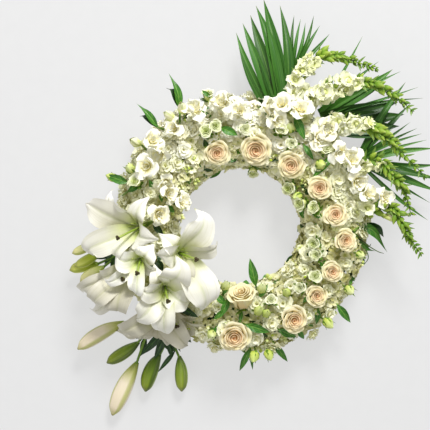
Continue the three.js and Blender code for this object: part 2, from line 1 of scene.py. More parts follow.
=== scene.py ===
"""Looks of the funeral wreath: fresh lilies, roses, freesias, snapdragons, lisianthus, small florets
and palm leaves on a ring of floral foam in a tray, lying flat with the flowers facing up.

Places are in millimetres from the centre of the foam ring, at the height that the tray stands on, and
angles in degrees counterclockwise from +X, as in the part's source. Skin.piece turns them to metres.
"""

import math

import bpy
import numpy as np
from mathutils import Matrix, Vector


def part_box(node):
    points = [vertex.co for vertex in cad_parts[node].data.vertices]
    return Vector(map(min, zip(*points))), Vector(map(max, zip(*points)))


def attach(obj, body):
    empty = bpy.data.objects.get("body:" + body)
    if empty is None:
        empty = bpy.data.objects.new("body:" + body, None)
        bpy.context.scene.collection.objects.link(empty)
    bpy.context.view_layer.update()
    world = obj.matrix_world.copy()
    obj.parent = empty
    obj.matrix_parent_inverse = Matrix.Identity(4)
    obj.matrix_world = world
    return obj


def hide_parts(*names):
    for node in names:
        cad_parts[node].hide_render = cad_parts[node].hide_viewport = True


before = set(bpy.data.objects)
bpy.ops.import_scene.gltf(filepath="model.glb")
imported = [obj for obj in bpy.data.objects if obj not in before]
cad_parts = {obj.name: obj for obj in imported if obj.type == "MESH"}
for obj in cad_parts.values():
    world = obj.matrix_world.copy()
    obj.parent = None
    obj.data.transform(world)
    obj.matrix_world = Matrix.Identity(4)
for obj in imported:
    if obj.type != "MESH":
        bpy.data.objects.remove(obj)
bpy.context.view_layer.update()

MM = 0.001
FOAM_LOW, FOAM_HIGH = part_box("foam_ring")
FOAM_MIDDLE = (FOAM_LOW + FOAM_HIGH) / 2
ORIGIN = np.array([FOAM_MIDDLE.x, FOAM_MIDDLE.y, 0.0])

RING_RADIUS = 168
FOAM_WIDTH = 71
FOAM_TOP = 50
CLUMP_FOOT = 14
CLUMP_TOP = 78
CLUMP_WIDTH = 112
STEM_DEPTH = 24
UNDER_FLORETS = 64  # height at which side stalks run, hidden by the florets
GOLDEN = 137.5  # degrees between one petal and the next in a spiral
SEEDS = {
    "lily": 100, "lily_buds": 140, "rose": 200, "freesia": 300, "snapdragon": 400, "lisianthus": 500,
    "long_leaves": 600, "palm_leaf": 700, "floret_clump": 800,
}

# ---- places and directions


def at(x, y, z):
    return np.array([x, y, z], float)


def on_ring(angle, radius, z):
    turn = math.radians(angle)
    return at(radius * math.cos(turn), radius * math.sin(turn), z)


def heading(azimuth, tilt):
    """The direction that leans away from straight up by tilt, towards azimuth."""
    lean = math.radians(tilt)
    return on_ring(azimuth, math.sin(lean), math.cos(lean))


def unit(vector):
    return vector / np.linalg.norm(vector)


def lerp(a, b, t):
    return a + (b - a) * t


def in_foam(place, z=STEM_DEPTH):
    reach = FOAM_WIDTH / 2 - 10
    radius = math.hypot(place[0], place[1])
    nearest = min(max(radius, RING_RADIUS - reach), RING_RADIUS + reach)
    return at(place[0] * nearest / radius, place[1] * nearest / radius, z)


def two_places(row):
    """The two places that a table's row begins with."""
    return at(*row[:3]), at(*row[3:6])


def rising(out, knots):
    """A place for each knot, which says how far out and how high it is."""
    return [out * far + at(0, 0, high) for far, high in knots]


def shares(whole, *parts):
    return [part * whole for part in parts]


def lifted(place, z):
    """The place straight above or below it at height z."""
    return at(place[0], place[1], z)


def turned_to(aim, roll=0.0):
    """The matrix that turns +Z to aim by the shortest way, after a roll about +Z."""
    turn = Vector((0, 0, 1)).rotation_difference(Vector(aim)).to_matrix()
    c, s = math.cos(math.radians(roll)), math.sin(math.radians(roll))
    return np.array(turn) @ np.array([[c, -s, 0], [s, c, 0], [0, 0, 1]])


def planted(grid, base, turn):
    return grid @ turn.T + base


# ---- surfaces


def spline(knots, count):
    """count points along a smooth curve through the knots, which may be points or numbers."""
    knots = np.array(knots, float)
    if len(knots) == 2:
        knots = np.array([knots[0], (knots[0] + knots[1]) / 2, knots[1]])
    padded = np.concatenate([[2 * knots[0] - knots[1]], knots, [2 * knots[-1] - knots[-2]]])
    t = np.linspace(0, len(knots) - 1 - 1e-9, count)
    i = t.astype(int)
    f = (t - i).reshape((-1,) + (1,) * (knots.ndim - 1))
    p0, p1, p2, p3 = padded[i], padded[i + 1], padded[i + 2], padded[i + 3]
    return 0.5 * (
        2 * p1 + (p2 - p0) * f + (2 * p0 - 5 * p1 + 4 * p2 - p3) * f**2
        + (3 * p1 - p0 - 3 * p2 + p3) * f**3
    )


def directions(path):
    along = np.gradient(path, axis=0)
    return along / np.maximum(np.linalg.norm(along, axis=1, keepdims=True), 1e-9)


def blade(spine, widths, side, rows=14, cols=9, cup=0.2, ruffle=0.0, waves=2.5, twist=0.0,
          rib=0.0, recurve=0.0, phase=0.0):
    """A petal or leaf around its spine. widths are half widths along it, side is the direction across
    it, cup lifts its edges, recurve bends them back near the tip, ruffle waves them, twist turns the
    tip in degrees, and rib is how deep the groove along its middle is."""
    path = spline(spine, rows)
    wide = np.maximum(spline(widths, rows), 0.15)[:, None]
    v = np.linspace(0, 1, rows)[:, None]
    c = np.linspace(-1, 1, cols)[None, :]
    along = directions(path)
    across = side - along * (along @ side)[:, None]
    across /= np.maximum(np.linalg.norm(across, axis=1, keepdims=True), 1e-9)
    up = np.cross(along, across)
    turn = math.radians(twist) * v**1.5
    across, up = across * np.cos(turn) + up * np.sin(turn), up * np.cos(turn) - across * np.sin(turn)
    lift = (cup - recurve * v**2) * c**2
    edge = np.abs(c) ** 1.6 * np.minimum(v * 4, 1)
    lift = lift + ruffle * edge * np.sin(2 * math.pi * waves * v + phase + 1.9 * (c > 0))
    lift = lift * wide - rib * np.exp(-((c / 0.14) ** 2)) * np.minimum(wide / 4, 1)
    return path[:, None] + across[:, None] * (wide * c)[..., None] + up[:, None] * lift[..., None]


def tube(points, radii, sides=6, rows=8, lobes=0, depth=0.0, phase=0.0):
    """A round stalk or bud along points; lobes and depth make ridges along it."""
    path = spline(points, rows)
    wide = np.maximum(spline(radii, rows), 0.1)[:, None]
    along = directions(path)
    helper = at(0, 0, 1) if abs(along[:, 2]).max() < 0.9 else unit(at(1, 0.37, 0.11))
    across = np.cross(helper, along)
    across /= np.maximum(np.linalg.norm(across, axis=1, keepdims=True), 1e-9)
    up = np.cross(along, across)
    turn = np.linspace(0, 2 * math.pi, sides, endpoint=False)[None, :]
    out = wide * (1 + depth * np.cos(lobes * turn + phase))
    return (path[:, None] + across[:, None] * (out * np.cos(turn))[..., None]
            + up[:, None] * (out * np.sin(turn))[..., None])


class Skin:
    """Gathers the surfaces of one piece. Each point knows how far along and across its petal it is, its
    petal's own tint, and its tone and shade: a share that each finish turns into colour. On lily petals,
    palm fingers and florets it is painted shade, and on florets it also holds their cream tone. Elsewhere
    it is the part's own tone. start is how far along the petal its surface begins, for one whose foot stays
    hidden."""

    def __init__(self, seed):
        self.points, self.faces, self.marks, self.ages, self.slots = [], [], [], [], []
        self.finishes, self.count = [], 0
        self.rng = np.random.default_rng(seed)

    def add(self, grid, finish, age=0.0, closed=False, tint=None, start=0.0):
        rows, cols = grid.shape[:2]
        tint = self.rng.random() if tint is None else tint
        index = np.arange(rows * cols).reshape(rows, cols) + self.count
        right = np.roll(index, -1, axis=1) if closed else index[:, 1:]
        left = index if closed else index[:, :-1]
        quads = np.stack([left[:-1], right[:-1], right[1:], left[1:]], axis=-1).reshape(-1, 4)
        v = np.repeat(np.linspace(start, 1, rows)[:, None], cols, axis=1)
        c = np.repeat(np.linspace(-1, 1, cols)[None, :], rows, axis=0)
        self.points.append(grid.reshape(-1, 3))
        self.faces.append(quads)
        self.marks.append(np.stack([v, c, np.full_like(v, tint)], axis=-1).reshape(-1, 3))
        self.ages.append(np.broadcast_to(age, (rows, cols)).reshape(-1))
        if finish not in self.finishes:
            self.finishes.append(finish)
        self.slots.append(np.full(len(quads), self.finishes.index(finish)))
        self.count += rows * cols

    def vary(self, spread):
        return self.rng.uniform(-spread, spread)

    def chance(self):
        return self.rng.random()

    def piece(self, node):
        points = np.concatenate(self.points) * MM + ORIGIN
        mesh = bpy.data.meshes.new(node + "_fresh")
        mesh.from_pydata(points.tolist(), [], np.concatenate(self.faces).tolist())
        for finish in self.finishes:
            mesh.materials.append(finish)
        mesh.polygons.foreach_set("material_index", np.concatenate(self.slots))
        mesh.polygons.foreach_set("use_smooth", np.ones(len(mesh.polygons), bool))
        marks = mesh.attributes.new("petal", "FLOAT_VECTOR", "POINT")
        marks.data.foreach_set("vector", np.concatenate(self.marks).ravel())
        ages = mesh.attributes.new("age", "FLOAT", "POINT")
        ages.data.foreach_set("value", np.concatenate(self.ages))
        mesh.update()
        made = bpy.data.objects.new(node + "_fresh", mesh)
        bpy.context.scene.collection.objects.link(made)
        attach(made, "root")
        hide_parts(node)


# ---- finishes


def colour(code):
    parts = [int(code[i : i + 2], 16) / 255 for i in (1, 3, 5)]
    return tuple(p / 12.92 if p <= 0.04045 else ((p + 0.055) / 1.055) ** 2.4 for p in parts) + (1.0,)


PAINTED_GLOW_COLOUR = "#f2f59a"  # colour of the painted glow that petals give off in any light, standing in for light through thin petals
PAINTED_PETAL_GLOW = 0.026


class Finish:
    """A node material, built from the marks that Skin leaves on each point."""

    def __init__(self, name, roughness, specular, sheen=0.0, painted_glow=0.0):
        self.material = bpy.data.materials.new(name)
        self.material.use_nodes = True
        self.nodes = self.material.node_tree.nodes
        self.links = self.material.node_tree.links
        self.shader = self.nodes["Principled BSDF"]
        self.shader.inputs["Roughness"].default_value = roughness
        self.shader.inputs["Specular IOR Level"].default_value = specular
        self.shader.inputs["Sheen Weight"].default_value = sheen
        # Painted glow: the petal finishes give off a faint light of their own, in place of light shining
        # through them.
        self.shader.inputs["Emission Color"].default_value = colour(PAINTED_GLOW_COLOUR)
        self.shader.inputs["Emission Strength"].default_value = painted_glow
        split = self.nodes.new("ShaderNodeSeparateXYZ")
        self.links.new(self.mark("petal", "Vector"), split.inputs[0])
        self.along, self.across, self.tint = split.outputs
        self.age = self.mark("age", "Fac")
        self.off_middle = self.math("ABSOLUTE", self.across)

    def mark(self, name, output):
        node = self.nodes.new("ShaderNodeAttribute")
        node.attribute_name = name
        return node.outputs[output]

    def put(self, socket, value):
        if isinstance(value, bpy.types.NodeSocket):
            self.links.new(value, socket)
        else:
            socket.default_value = value

    def math(self, operation, a, b=0.0):
        node = self.nodes.new("ShaderNodeMath")
        node.operation = operation
        self.put(node.inputs[0], a)
        self.put(node.inputs[1], b)
        return node.outputs[0]

    def scaled(self, value, low, high, to_low=0.0, to_high=1.0):
        node = self.nodes.new("ShaderNodeMapRange")
        node.interpolation_type = "SMOOTHSTEP"
        for socket, number in zip(node.inputs, (value, low, high, to_low, to_high)):
            self.put(socket, number)
        return node.outputs[0]

    def mix(self, share, a, b):
        node = self.nodes.new("ShaderNodeMix")
        node.data_type = "RGBA"
        self.put(node.inputs[0], share)
        self.put(node.inputs[6], colour(a) if isinstance(a, str) else a)
        self.put(node.inputs[7], colour(b) if isinstance(b, str) else b)
        return node.outputs[2]

    def ramp(self, value, stops):
        node = self.nodes.new("ShaderNodeValToRGB")
        elements = node.color_ramp.elements
        for _ in stops[2:]:
            elements.new(0.5)
        for element, (position, code) in zip(elements, stops):
            element.position, element.color = position, colour(code)
        self.put(node.inputs[0], value)
        return node.outputs[0]

    def noise(self, scale, vector=None, detail=3.0, roughness=0.5):
        node = self.nodes.new("ShaderNodeTexNoise")
        if vector is None:
            vector = self.nodes.new("ShaderNodeTexCoord").outputs["Object"]
        self.links.new(vector, node.inputs["Vector"])
        node.inputs["Scale"].default_value = scale
        node.inputs["Detail"].default_value = detail
        node.inputs["Roughness"].default_value = roughness
        return node.outputs["Fac"]

    def veins(self, across, along):
        """Noise that is stretched along the petal and different on each petal."""
        node = self.nodes.new("ShaderNodeCombineXYZ")
        self.put(node.inputs[0], self.math("MULTIPLY", self.across, across))
        self.put(node.inputs[1], self.math("MULTIPLY", self.along, along))
        self.put(node.inputs[2], self.math("MULTIPLY", self.tint, 60.0))
        return self.noise(1.0, node.outputs[0], 4.0, 0.6)

    def centre(self, width, most=1.0):
        """most along the middle of the petal, 0 from width outwards."""
        return self.scaled(self.off_middle, 0.0, width, most, 0.0)

    def done(self, base, height, strength, distance, roughness=None):
        self.put(self.shader.inputs["Base Color"], base)
        if roughness is not None:
            self.put(self.shader.inputs["Roughness"], roughness)
        bump = self.nodes.new("ShaderNodeBump")
        bump.inputs["Strength"].default_value = strength
        bump.inputs["Distance"].default_value = distance * MM
        self.put(bump.inputs["Height"], height)
        self.links.new(bump.outputs[0], self.shader.inputs["Normal"])
        return self.material


def layered_finish(name, gloss, veining, stops, layers, bump, ramp_by="along"):
    """A finish with more colours laid over its ramp. A layer is the mark that it follows, where its
    share begins and ends to change, its share there, and its colour."""
    f = Finish(name, *gloss)
    veins = f.veins(*veining)
    marks = {"along": f.along, "middle": f.off_middle, "tint": f.tint, "age": f.age, "veins": veins}
    base = f.ramp(marks[ramp_by], stops)
    for mark, *span, code in layers:
        base = f.mix(f.scaled(marks[mark], *span) if span else marks[mark], base, code)
    return f.done(base, veins, *bump)


def lily_petal_finish():
    f = Finish("lily petal", 0.42, 0.35, 0.1, 0.6 * PAINTED_PETAL_GLOW)
    veins = f.veins(11.0, 1.2)
    stops = [(0.0, "#7f9c1c"), (0.24, "#9db42a"), (0.32, "#dbe2a2"), (0.44, "#faf9ec"), (1.0, "#fffefc")]
    base = f.ramp(f.along, stops)
    midrib = f.math("MULTIPLY", f.centre(0.13), f.scaled(f.along, 0.1, 0.95, 0.75, 0.12))
    base = f.mix(midrib, base, "#a9c050")
    # Painted shade: a grey-green darkening down the cupped petal's hollow middle, strongest towards its
    # foot.
    painted_hollow_shade = f.math("MULTIPLY", f.centre(0.75), f.scaled(f.along, 0.4, 0.88, 0.52, 0.0))
    base = f.mix(painted_hollow_shade, base, "#d9dabc")
    base = f.mix(f.scaled(f.along, 0.93, 1.0), base, "#c3c878")
    base = f.mix(f.scaled(veins, 0.45, 0.75, 0.0, 0.45), base, "#d4d2ac")
    # Painted shade: the lily's shade share greys the petal towards tan.
    base = f.mix(f.age, base, "#a59c7e")
    base = f.mix(f.scaled(f.tint, 0.0, 1.0, 0.0, 0.12), base, "#f3e9d6")
    return f.done(base, veins, 0.35, 0.9)


# A cream, a lime and a green bud: colours from foot to tip, how strong the ridges are and their colour.
BUD_COATS = [
    ([(0.0, "#7f9a2c"), (0.16, "#cfd07c"), (0.4, "#f6e8d0"), (0.86, "#f3e2c8"), (0.96, "#d9cf93"),
      (1.0, "#8f7f4a")], 0.7, "#b1b94e"),
    ([(0.0, "#86a524"), (0.4, "#bccb3c"), (0.85, "#dade6c"), (1.0, "#a3a14c")], 0.6, "#93a426"),
    ([(0.0, "#41640f"), (0.4, "#6d8a16"), (0.85, "#8a9f22"), (1.0, "#63691c")], 0.75, "#33500a"),
]


def lily_bud_finish():
    f = Finish("lily bud", 0.38, 0.4)
    veins = f.veins(6.0, 1.0)
    ridge = f.scaled(f.math("COSINE", f.math("MULTIPLY", f.across, 3 * math.pi)), 0.1, 1.0)
    cream, lime, green = [
        f.mix(f.math("MULTIPLY", ridge, depth), f.ramp(f.along, stops), code)
        for stops, depth, code in BUD_COATS
    ]
    base = f.mix(f.scaled(f.age, 0.05, 0.5), cream, lime)
    base = f.mix(f.scaled(f.age, 0.5, 0.95), base, green)
    base = f.mix(f.scaled(veins, 0.45, 0.75, 0.0, 0.16), base, "#d9d8a0")
    return f.done(base, veins, 0.3, 0.6)


def leaf_finish(name, dark, light, rib, side_veins=26.0):
    f = Finish(name, 0.45, 0.45)
    veins = f.veins(4.0, 2.0)
    slant = f.math("ADD", f.math("MULTIPLY", f.along, side_veins),
                   f.math("MULTIPLY", f.off_middle, -side_veins / 5))
    wave = f.math("SINE", slant)
    base = f.mix(f.scaled(veins, 0.3, 0.75), dark, light)
    base = f.mix(f.scaled(wave, 0.75, 1.0, 0.0, 0.3), base, rib)
    base = f.mix(f.centre(0.12, 0.8), base, rib)
    base = f.mix(f.age, base, "#9fb04c")
    return f.done(base, f.math("ADD", wave, veins), 0.25, 0.5)


def stalk_finish():
    f = Finish("stalk", 0.5, 0.4)
    veins = f.veins(5.0, 4.0)
    base = f.mix(f.scaled(veins, 0.3, 0.75), "#4a6f1f", "#86a83c")
    base = f.mix(f.age, base, "#3a4a22")
    return f.done(base, veins, 0.3, 0.4)


def stigma_finish():
    f = Finish("stigma", 0.6, 0.3)
    grain = f.noise(900.0, detail=2.0)
    base = f.mix(f.scaled(grain, 0.4, 0.65), "#2c2014", "#5c5428")
    return f.done(base, grain, 0.5, 0.5)


def foam_finish():
    f = Finish("floral foam", 0.95, 0.05)
    pores = f.noise(900.0, detail=5.0, roughness=0.7)
    blotches = f.noise(60.0, detail=3.0)
    base = f.mix(f.scaled(blotches, 0.35, 0.65), "#24472a", "#3b6a3c")
    base = f.mix(f.scaled(pores, 0.5, 0.62, 0.0, 0.6), base, "#16301b")
    return f.done(base, pores, 0.9, 1.2)


def tray_finish():
    f = Finish("tray plastic", 0.45, 0.45)
    grain = f.noise(1600.0, detail=2.0)
    scuffs = f.noise(45.0, detail=6.0, roughness=0.75)
    base = f.mix(f.scaled(scuffs, 0.45, 0.75, 0.0, 0.5), "#1b3320", "#31503a")
    worn = f.scaled(scuffs, 0.35, 0.8, 0.34, 0.62)
    return f.done(base, grain, 0.15, 0.3, worn)


LILY = lily_petal_finish()
BUD = lily_bud_finish()
ROSE = layered_finish(
    "rose petal", (0.6, 0.25, 0.2, 1.3 * PAINTED_PETAL_GLOW), (8.0, 1.6),
    [(0.0, "#eee5ba"), (0.3, "#f2e0ac"), (0.6, "#f4d0a0"), (1.0, "#f3ba88")],
    [("along", 0.2, 0.8, 0.4, 0.0, "#f0b87a"), ("along", 0.86, 1.0, 0.0, 0.55, "#fdf6da"),
     ("veins", 0.45, 0.8, 0.0, 0.28, "#e4cc90"), ("tint", 0.5, 1.0, 0.0, 0.22, "#e6e6a4")],
    (0.25, 0.6), ramp_by="age")
FREESIA = layered_finish(
    "freesia petal", (0.5, 0.3, 0.1, PAINTED_PETAL_GLOW), (7.0, 1.1),
    [(0.0, "#dade84"), (0.18, "#f2e27c"), (0.34, "#f9f0b8"), (0.58, "#fcfae6"), (1.0, "#fffef6")],
    [("veins", 0.5, 0.8, 0.0, 0.32, "#e9e4b4"), ("age", "#d9dc92"),
     ("tint", 0.6, 1.0, 0.0, 0.3, "#f3e6b0")],
    (0.3, 0.7))
SNAP = layered_finish(
    "snapdragon petal", (0.55, 0.25, 0.15, PAINTED_PETAL_GLOW), (6.0, 1.3),
    [(0.0, "#a3b541"), (0.25, "#dfe08c"), (0.5, "#f7f5de"), (1.0, "#fefdf3")],
    [("age", "#d6e07c"), ("veins", 0.5, 0.8, 0.0, 0.3, "#e2e2b4"),
     ("tint", 0.55, 1.0, 0.0, 0.35, "#e6ea9c")],
    (0.3, 0.7))
GREEN_BUD = layered_finish(
    "green bud", (0.5, 0.3), (5.0, 1.0),
    [(0.0, "#4c7517"), (0.35, "#7c9f27"), (0.75, "#a8bd45"), (1.0, "#d2db80")],
    [("age", "#4d7a1c"), ("veins", 0.4, 0.7, 0.0, 0.3, "#6d9026")], (0.3, 0.5))
LISIANTHUS_PETAL = layered_finish(
    "lisianthus petal", (0.5, 0.3, 0.1, PAINTED_PETAL_GLOW), (6.0, 1.4),
    [(0.0, "#b9cb50"), (0.3, "#d9e184"), (0.6, "#eef0b4"), (0.85, "#f7f7d6"), (1.0, "#fdfdea")],
    [("veins", 0.42, 0.75, 0.0, 0.35, "#c3d160"), ("age", "#b5c93c")], (0.3, 0.6))
# The florets' last layer darkens them to olive by the share that make_clump gives: painted shade, with the
# clumps' cream tone.
FLORET = layered_finish(
    "floret petal", (0.6, 0.22, 0.15, PAINTED_PETAL_GLOW), (6.0, 1.5),
    [(0.0, "#b7c34c"), (0.22, "#e9e8a6"), (0.5, "#f6f3d4"), (1.0, "#fcf9e8")],
    [("tint", 0.5, 1.0, 0.0, 0.45, "#e3e7a4"), ("veins", 0.5, 0.8, 0.0, 0.3, "#e0dcae"),
     ("age", "#b6b25a")],
    (0.35, 0.7))
LEAF = leaf_finish("green leaf", "#2b6314", "#4f8e26", "#8ab44e")
# The shaded leaf is a darker copy of the green leaf: its darkness is painted shade.
PAINTED_SHADE_LEAF = leaf_finish("shaded leaf", "#14300c", "#265018", "#4f7d31")
# The palm's last layer darkens by the finger's share: painted shade on the wide fingers under the others,
# and a darker foot on the rest.
PALM = layered_finish(
    "palm leaf", (0.42, 0.45), (14.0, 0.6),
    [(0.0, "#1a4510"), (0.4, "#275c15"), (0.8, "#387222"), (1.0, "#548a2e")],
    [("veins", 0.4, 0.65, 0.0, 0.5, "#649a35"), ("along", 0.94, 1.0, 0.0, 0.6, "#77763c"),
     ("middle", 0.0, 0.1, 0.5, 0.0, "#86b04e"), ("age", "#1d430c")],
    (0.4, 0.6), ramp_by="tint")
STALK = stalk_finish()
STIGMA = stigma_finish()

# ---- small shared growths


def add_stalk(skin, points, radius, rows=9):
    skin.add(tube(points, [radius] * len(points), 7, rows), STALK, closed=True)


def add_hub(skin, root, height, radius):
    """A stalk out of the foam that ends under the florets; its side stalks start round the place over
    it, which is the hub."""
    hub = on_ring(*root, height)
    add_stalk(skin, [on_ring(*root, STEM_DEPTH), lifted(hub, UNDER_FLORETS - 6)], radius)
    return hub


def add_leaf(skin, foot, tip, half_width, arch=5.0, finish=LEAF, cup=0.2, twist=0.0, rows=12, cols=7,
             age=0.0):
    """A pointed leaf from foot to tip that arches upwards."""
    bend = lerp(foot, tip, 0.45) + at(0, 0, arch)
    rise = at(0, 0, arch / 4)
    along = tip - foot
    side = unit(at(-along[1], along[0], 0) + at(0, 0, 1e-6))
    spine = [foot, lerp(foot, bend, 0.5) + rise, bend, lerp(bend, tip, 0.55) + rise, tip]
    widths = shares(half_width, 0.12, 0.8, 1, 0.62) + [0.02]
    grid = blade(spine, widths, side, rows, cols, cup=cup, ruffle=0.06, twist=twist, rib=0.6,
                 phase=skin.vary(3))
    skin.add(grid, finish, age)


def add_petal(skin, foot, turn, angle, knots, widths, rows, cols, finish, age, size=1.0, start=0.0,
              teeth=0.0, **form):
    """A petal or sepal of a round flower: it leaves the flower's axis at that angle and follows the
    knots, each of them how far out and how high. teeth makes the tip's edge uneven."""
    out = on_ring(angle, 1, 0)
    grid = blade(rising(out, knots), widths, on_ring(angle + 90, 1, 0), rows, cols, **form)
    if teeth:
        grid[-1] += np.outer([teeth * skin.vary(1) for _ in range(cols)], out)
    skin.add(planted(grid * size, foot, turn), finish, age, start=start)


def add_bead(skin, middle, radius, finish, aim, stretch=1.0, sides=8, rows=6, lobes=0, depth=0.0,
             age=0.0, along=0.0):
    """A round bud or knob, stretched along its aim."""
    aim = unit(aim)
    height = radius * stretch
    spine = [middle - aim * height, middle, middle + aim * height]
    turn = np.linspace(0, math.pi, rows)
    grid = tube(spine, [radius] * 3, sides, rows, lobes, depth)
    path = grid.mean(axis=1, keepdims=True)
    level = middle - aim * height * np.cos(turn)[:, None]
    grid = (grid - path) * np.maximum(np.sin(turn), 0.02)[:, None, None] + level[:, None]
    skin.add(grid, finish, age, closed=True, start=along)


# ---- lilies

# Each lily is its throat, its heading, how much painted shade greys its petals, and its petals; each
# petal is the three coordinates of its tip, its half width, its arch and its bow.
LILIES = [
    ((-184, -2, 104), (204, 42), 0.0, [
        (-231, 66, 104, 17, 28, 5), (-278, 41, 112, 19, 20, -10), (-263, -54, 106, 18, 36, -12),
        (-212, -54, 100, 15, 38, 0), (-146, -24, 110, 17, 32, 6), (-162, 54, 116, 13, 26, 0),
    ]),
    ((-112, -48, 106), (-22, 24), 0.0, [
        (-85, 32, 128, 20, 22, -18), (-45, -26, 122, 12, 20, -9), (-76, -154, 86, 23, 38, 8),
        (-115, -112, 98, 14, 28, 0), (-157, -50, 114, 16, 26, 0), (-150, -12, 112, 13, 26, 0),
    ]),
    ((-182, -58, 112), (250, 22), 0.0, [
        (-187, -121, 120, 11, 30, 3), (-247, -92, 118, 9, 22, 8), (-149, -78, 120, 10, 18, 0),
        (-223, -43, 110, 14, 34, 0), (-156, -30, 114, 15, 24, 0), (-194, -22, 106, 12, 24, 0),
    ]),
    ((-139, -108, 104), (275, 20), 0.0, [
        (-119, -50, 132, 20, 30, -14), (-180, -103, 124, 15, 26, 5), (-196, -162, 98, 17, 28, 5),
        (-134, -193, 82, 16, 34, -5), (-92, -133, 94, 17, 26, 0), (-157, -65, 116, 12, 26, 0),
    ]),
    ((-199, -74, 94), (225, 34), 0.2, [
        (-218, -150, 86, 20, 40, 6), (-258, -140, 78, 15, 38, -8), (-286, -122, 62, 12, 34, -14),
        (-277, -150, 52, 12, 20, 14), (-252, -82, 84, 14, 30, 0), (-173, -115, 96, 14, 26, 0),
    ]),
    ((-150, -142, 82), (262, 40), 0.6, [
        (-208, -194, 66, 16, 34, -22), (-231, -190, 44, 18, 18, 6), (-184, -207, 38, 18, 16, 0),
        (-151, -205, 42, 19, 20, 0), (-98, -220, 38, 17, 18, 5), (-83, -155, 68, 15, 20, 0),
    ]),
    ((-128, -160, 64), (280, 50), 0.4, [
        (-62, -187, 56, 13, 14, 4), (-126, -212, 36, 16, 14, 0), (-168, -196, 36, 15, 14, 0),
        (-76, -164, 58, 12, 16, 0), (-142, -128, 80, 12, 14, 0), (-96, -140, 78, 12, 14, 0),
    ]),
]
THROAT_DEPTH = 38
STYLE_LENGTH = 102
STAMENS = 6
# Share of the way to the tip, of the arch and of the bow.
PETAL_COURSE = [
    (0.04, 0.0, 0.0), (0.25, 0.5, 0.25), (0.52, 1.0, 0.8), (0.76, 0.92, 1.0), (0.91, 0.52, 0.7),
    (1.0, 0.0, 0.0),
]
PETAL_WIDTHS = (0.16, 0.5, 1.16, 1.4, 1.02, 0.42, 0.02)
# Leaves in painted shade, dark sheets for the shade between the lilies, under their petals: foot, tip and
# half width.
SHADE_LEAVES_UNDER_LILIES = [
    (-168, -60, 84, -152, -92, 88, 9), (-152, -62, 88, -142, -80, 90, 7),
    (-116, -142, 92, -78, -164, 88, 7), (-128, -150, 74, -102, -196, 60, 6),
    (-160, 6, 84, -140, -20, 88, 6),
]


def add_lily_petal(skin, throat, aim, tip, half_width, arch, bow, shade):
    """A petal that rises from deep in the throat, arches over and bends back to its tip; bow is how
    far its middle swings to one side."""
    out = tip - throat
    side = unit(np.cross(aim, out))
    spine = [throat - aim * THROAT_DEPTH]
    for share, height, swing in PETAL_COURSE:
        spine.append(throat + out * share + aim * arch * height + side * bow * swing)
    widths = shares(half_width, *PETAL_WIDTHS)
    grid = blade(spine, widths, side, 30, 15, cup=0.36, ruffle=0.16 + 0.26 * shade,
                 waves=2.2 + skin.vary(0.5), twist=skin.vary(45), rib=2.2, recurve=0.8, phase=skin.vary(3))
    skin.add(grid, LILY, shade)


def add_lily(skin, throat, aim, shade, petals):
    base = throat - aim * THROAT_DEPTH
    turn = turned_to(aim)
    add_stalk(skin, [in_foam(base), in_foam(base, FOAM_TOP - 8), base + aim * 2], 3)
    for x, y, z, half_width, arch, bow in petals:
        # Painted shade: each petal gets its lily's shade and a random share more.
        petal_shade = min(1, shade + 0.4 * skin.chance() ** 2)
        add_lily_petal(skin, throat, aim, at(x, y, z), half_width, arch, bow, petal_shade)
    length = STYLE_LENGTH * (1 - 0.9 * shade)
    style = [at(0, 0, 4), at(1, 0, 0.3 * length), at(3, 0, 0.6 * length), at(7, 0, length)]
    skin.add(planted(tube(style, [2.4, 2.2, 1.9, 2.3], 8, 14), base, turn), GREEN_BUD, 0.3, closed=True)
    for k in range(3):
        lobe = at(7, 0, length + 1) + on_ring(k * 120, 2.2, 0)
        add_bead(skin, planted(lobe, base, turn), 2.9, STIGMA, aim, 0.8)
    for k in range(STAMENS):
        knots = [(2, 10), (5, 34), (11 + skin.vary(3), 58 + skin.vary(4))]
        filament = tube(rising(on_ring(k * 360 / STAMENS + 25, 1, 0), knots), [1.5, 1.4, 0.6], 6, 8)
        skin.add(planted(filament, base, turn), GREEN_BUD, 0.0, closed=True, tint=0.9)


for number, (throat, aim, shade, petals) in enumerate(LILIES, 1):
    flower = Skin(SEEDS["lily"] + number)
    add_lily(flower, at(*throat), heading(*aim), shade, petals)
    if number == 2:
        # Leaves in painted shade fill the dark gaps under the lilies' petals.
        for row in SHADE_LEAVES_UNDER_LILIES:
            add_leaf(flower, *two_places(row), row[6], 4, PAINTED_SHADE_LEAF, twist=flower.vary(30))
    flower.piece(f"lily_{number}")

# ---- lily buds

# Each stem is its name, where it stands in the foam, its fork and its buds; each bud is its foot, its
# tip, its half width and how green it is.
LILY_BUD_STEMS = [
    ("left", (194, 186), (-222, -50, 46), [
        (-266, -30, 62, -308, -50, 58, 8.5, 0.3),
        (-258, -46, 44, -305, -74, 40, 10, 0.6),
        (-262, -70, 30, -316, -82, 28, 11, 0.5),
        (-250, -74, 56, -294, -102, 52, 11, 0.3),
    ]),
    ("front", (224, 188), (-170, -186, 40), [
        (-214, -176, 48, -300, -226, 38, 14, 0.12),
        (-188, -214, 28, -248, -253, 22, 12, 0.9),
        (-192, -252, 20, -238, -350, 19, 16, 0.1),
    ]),
    ("right", (231, 186), (-132, -202, 34), [
        (-150, -236, 24, -177, -306, 20, 14, 0.95),
        (-114, -240, 24, -110, -306, 18, 12, 0.85),
    ]),
]
BUD_OUTLINE = [0.24, 0.5, 0.72, 0.88, 0.97, 1.0, 0.98, 0.88, 0.66, 0.1]
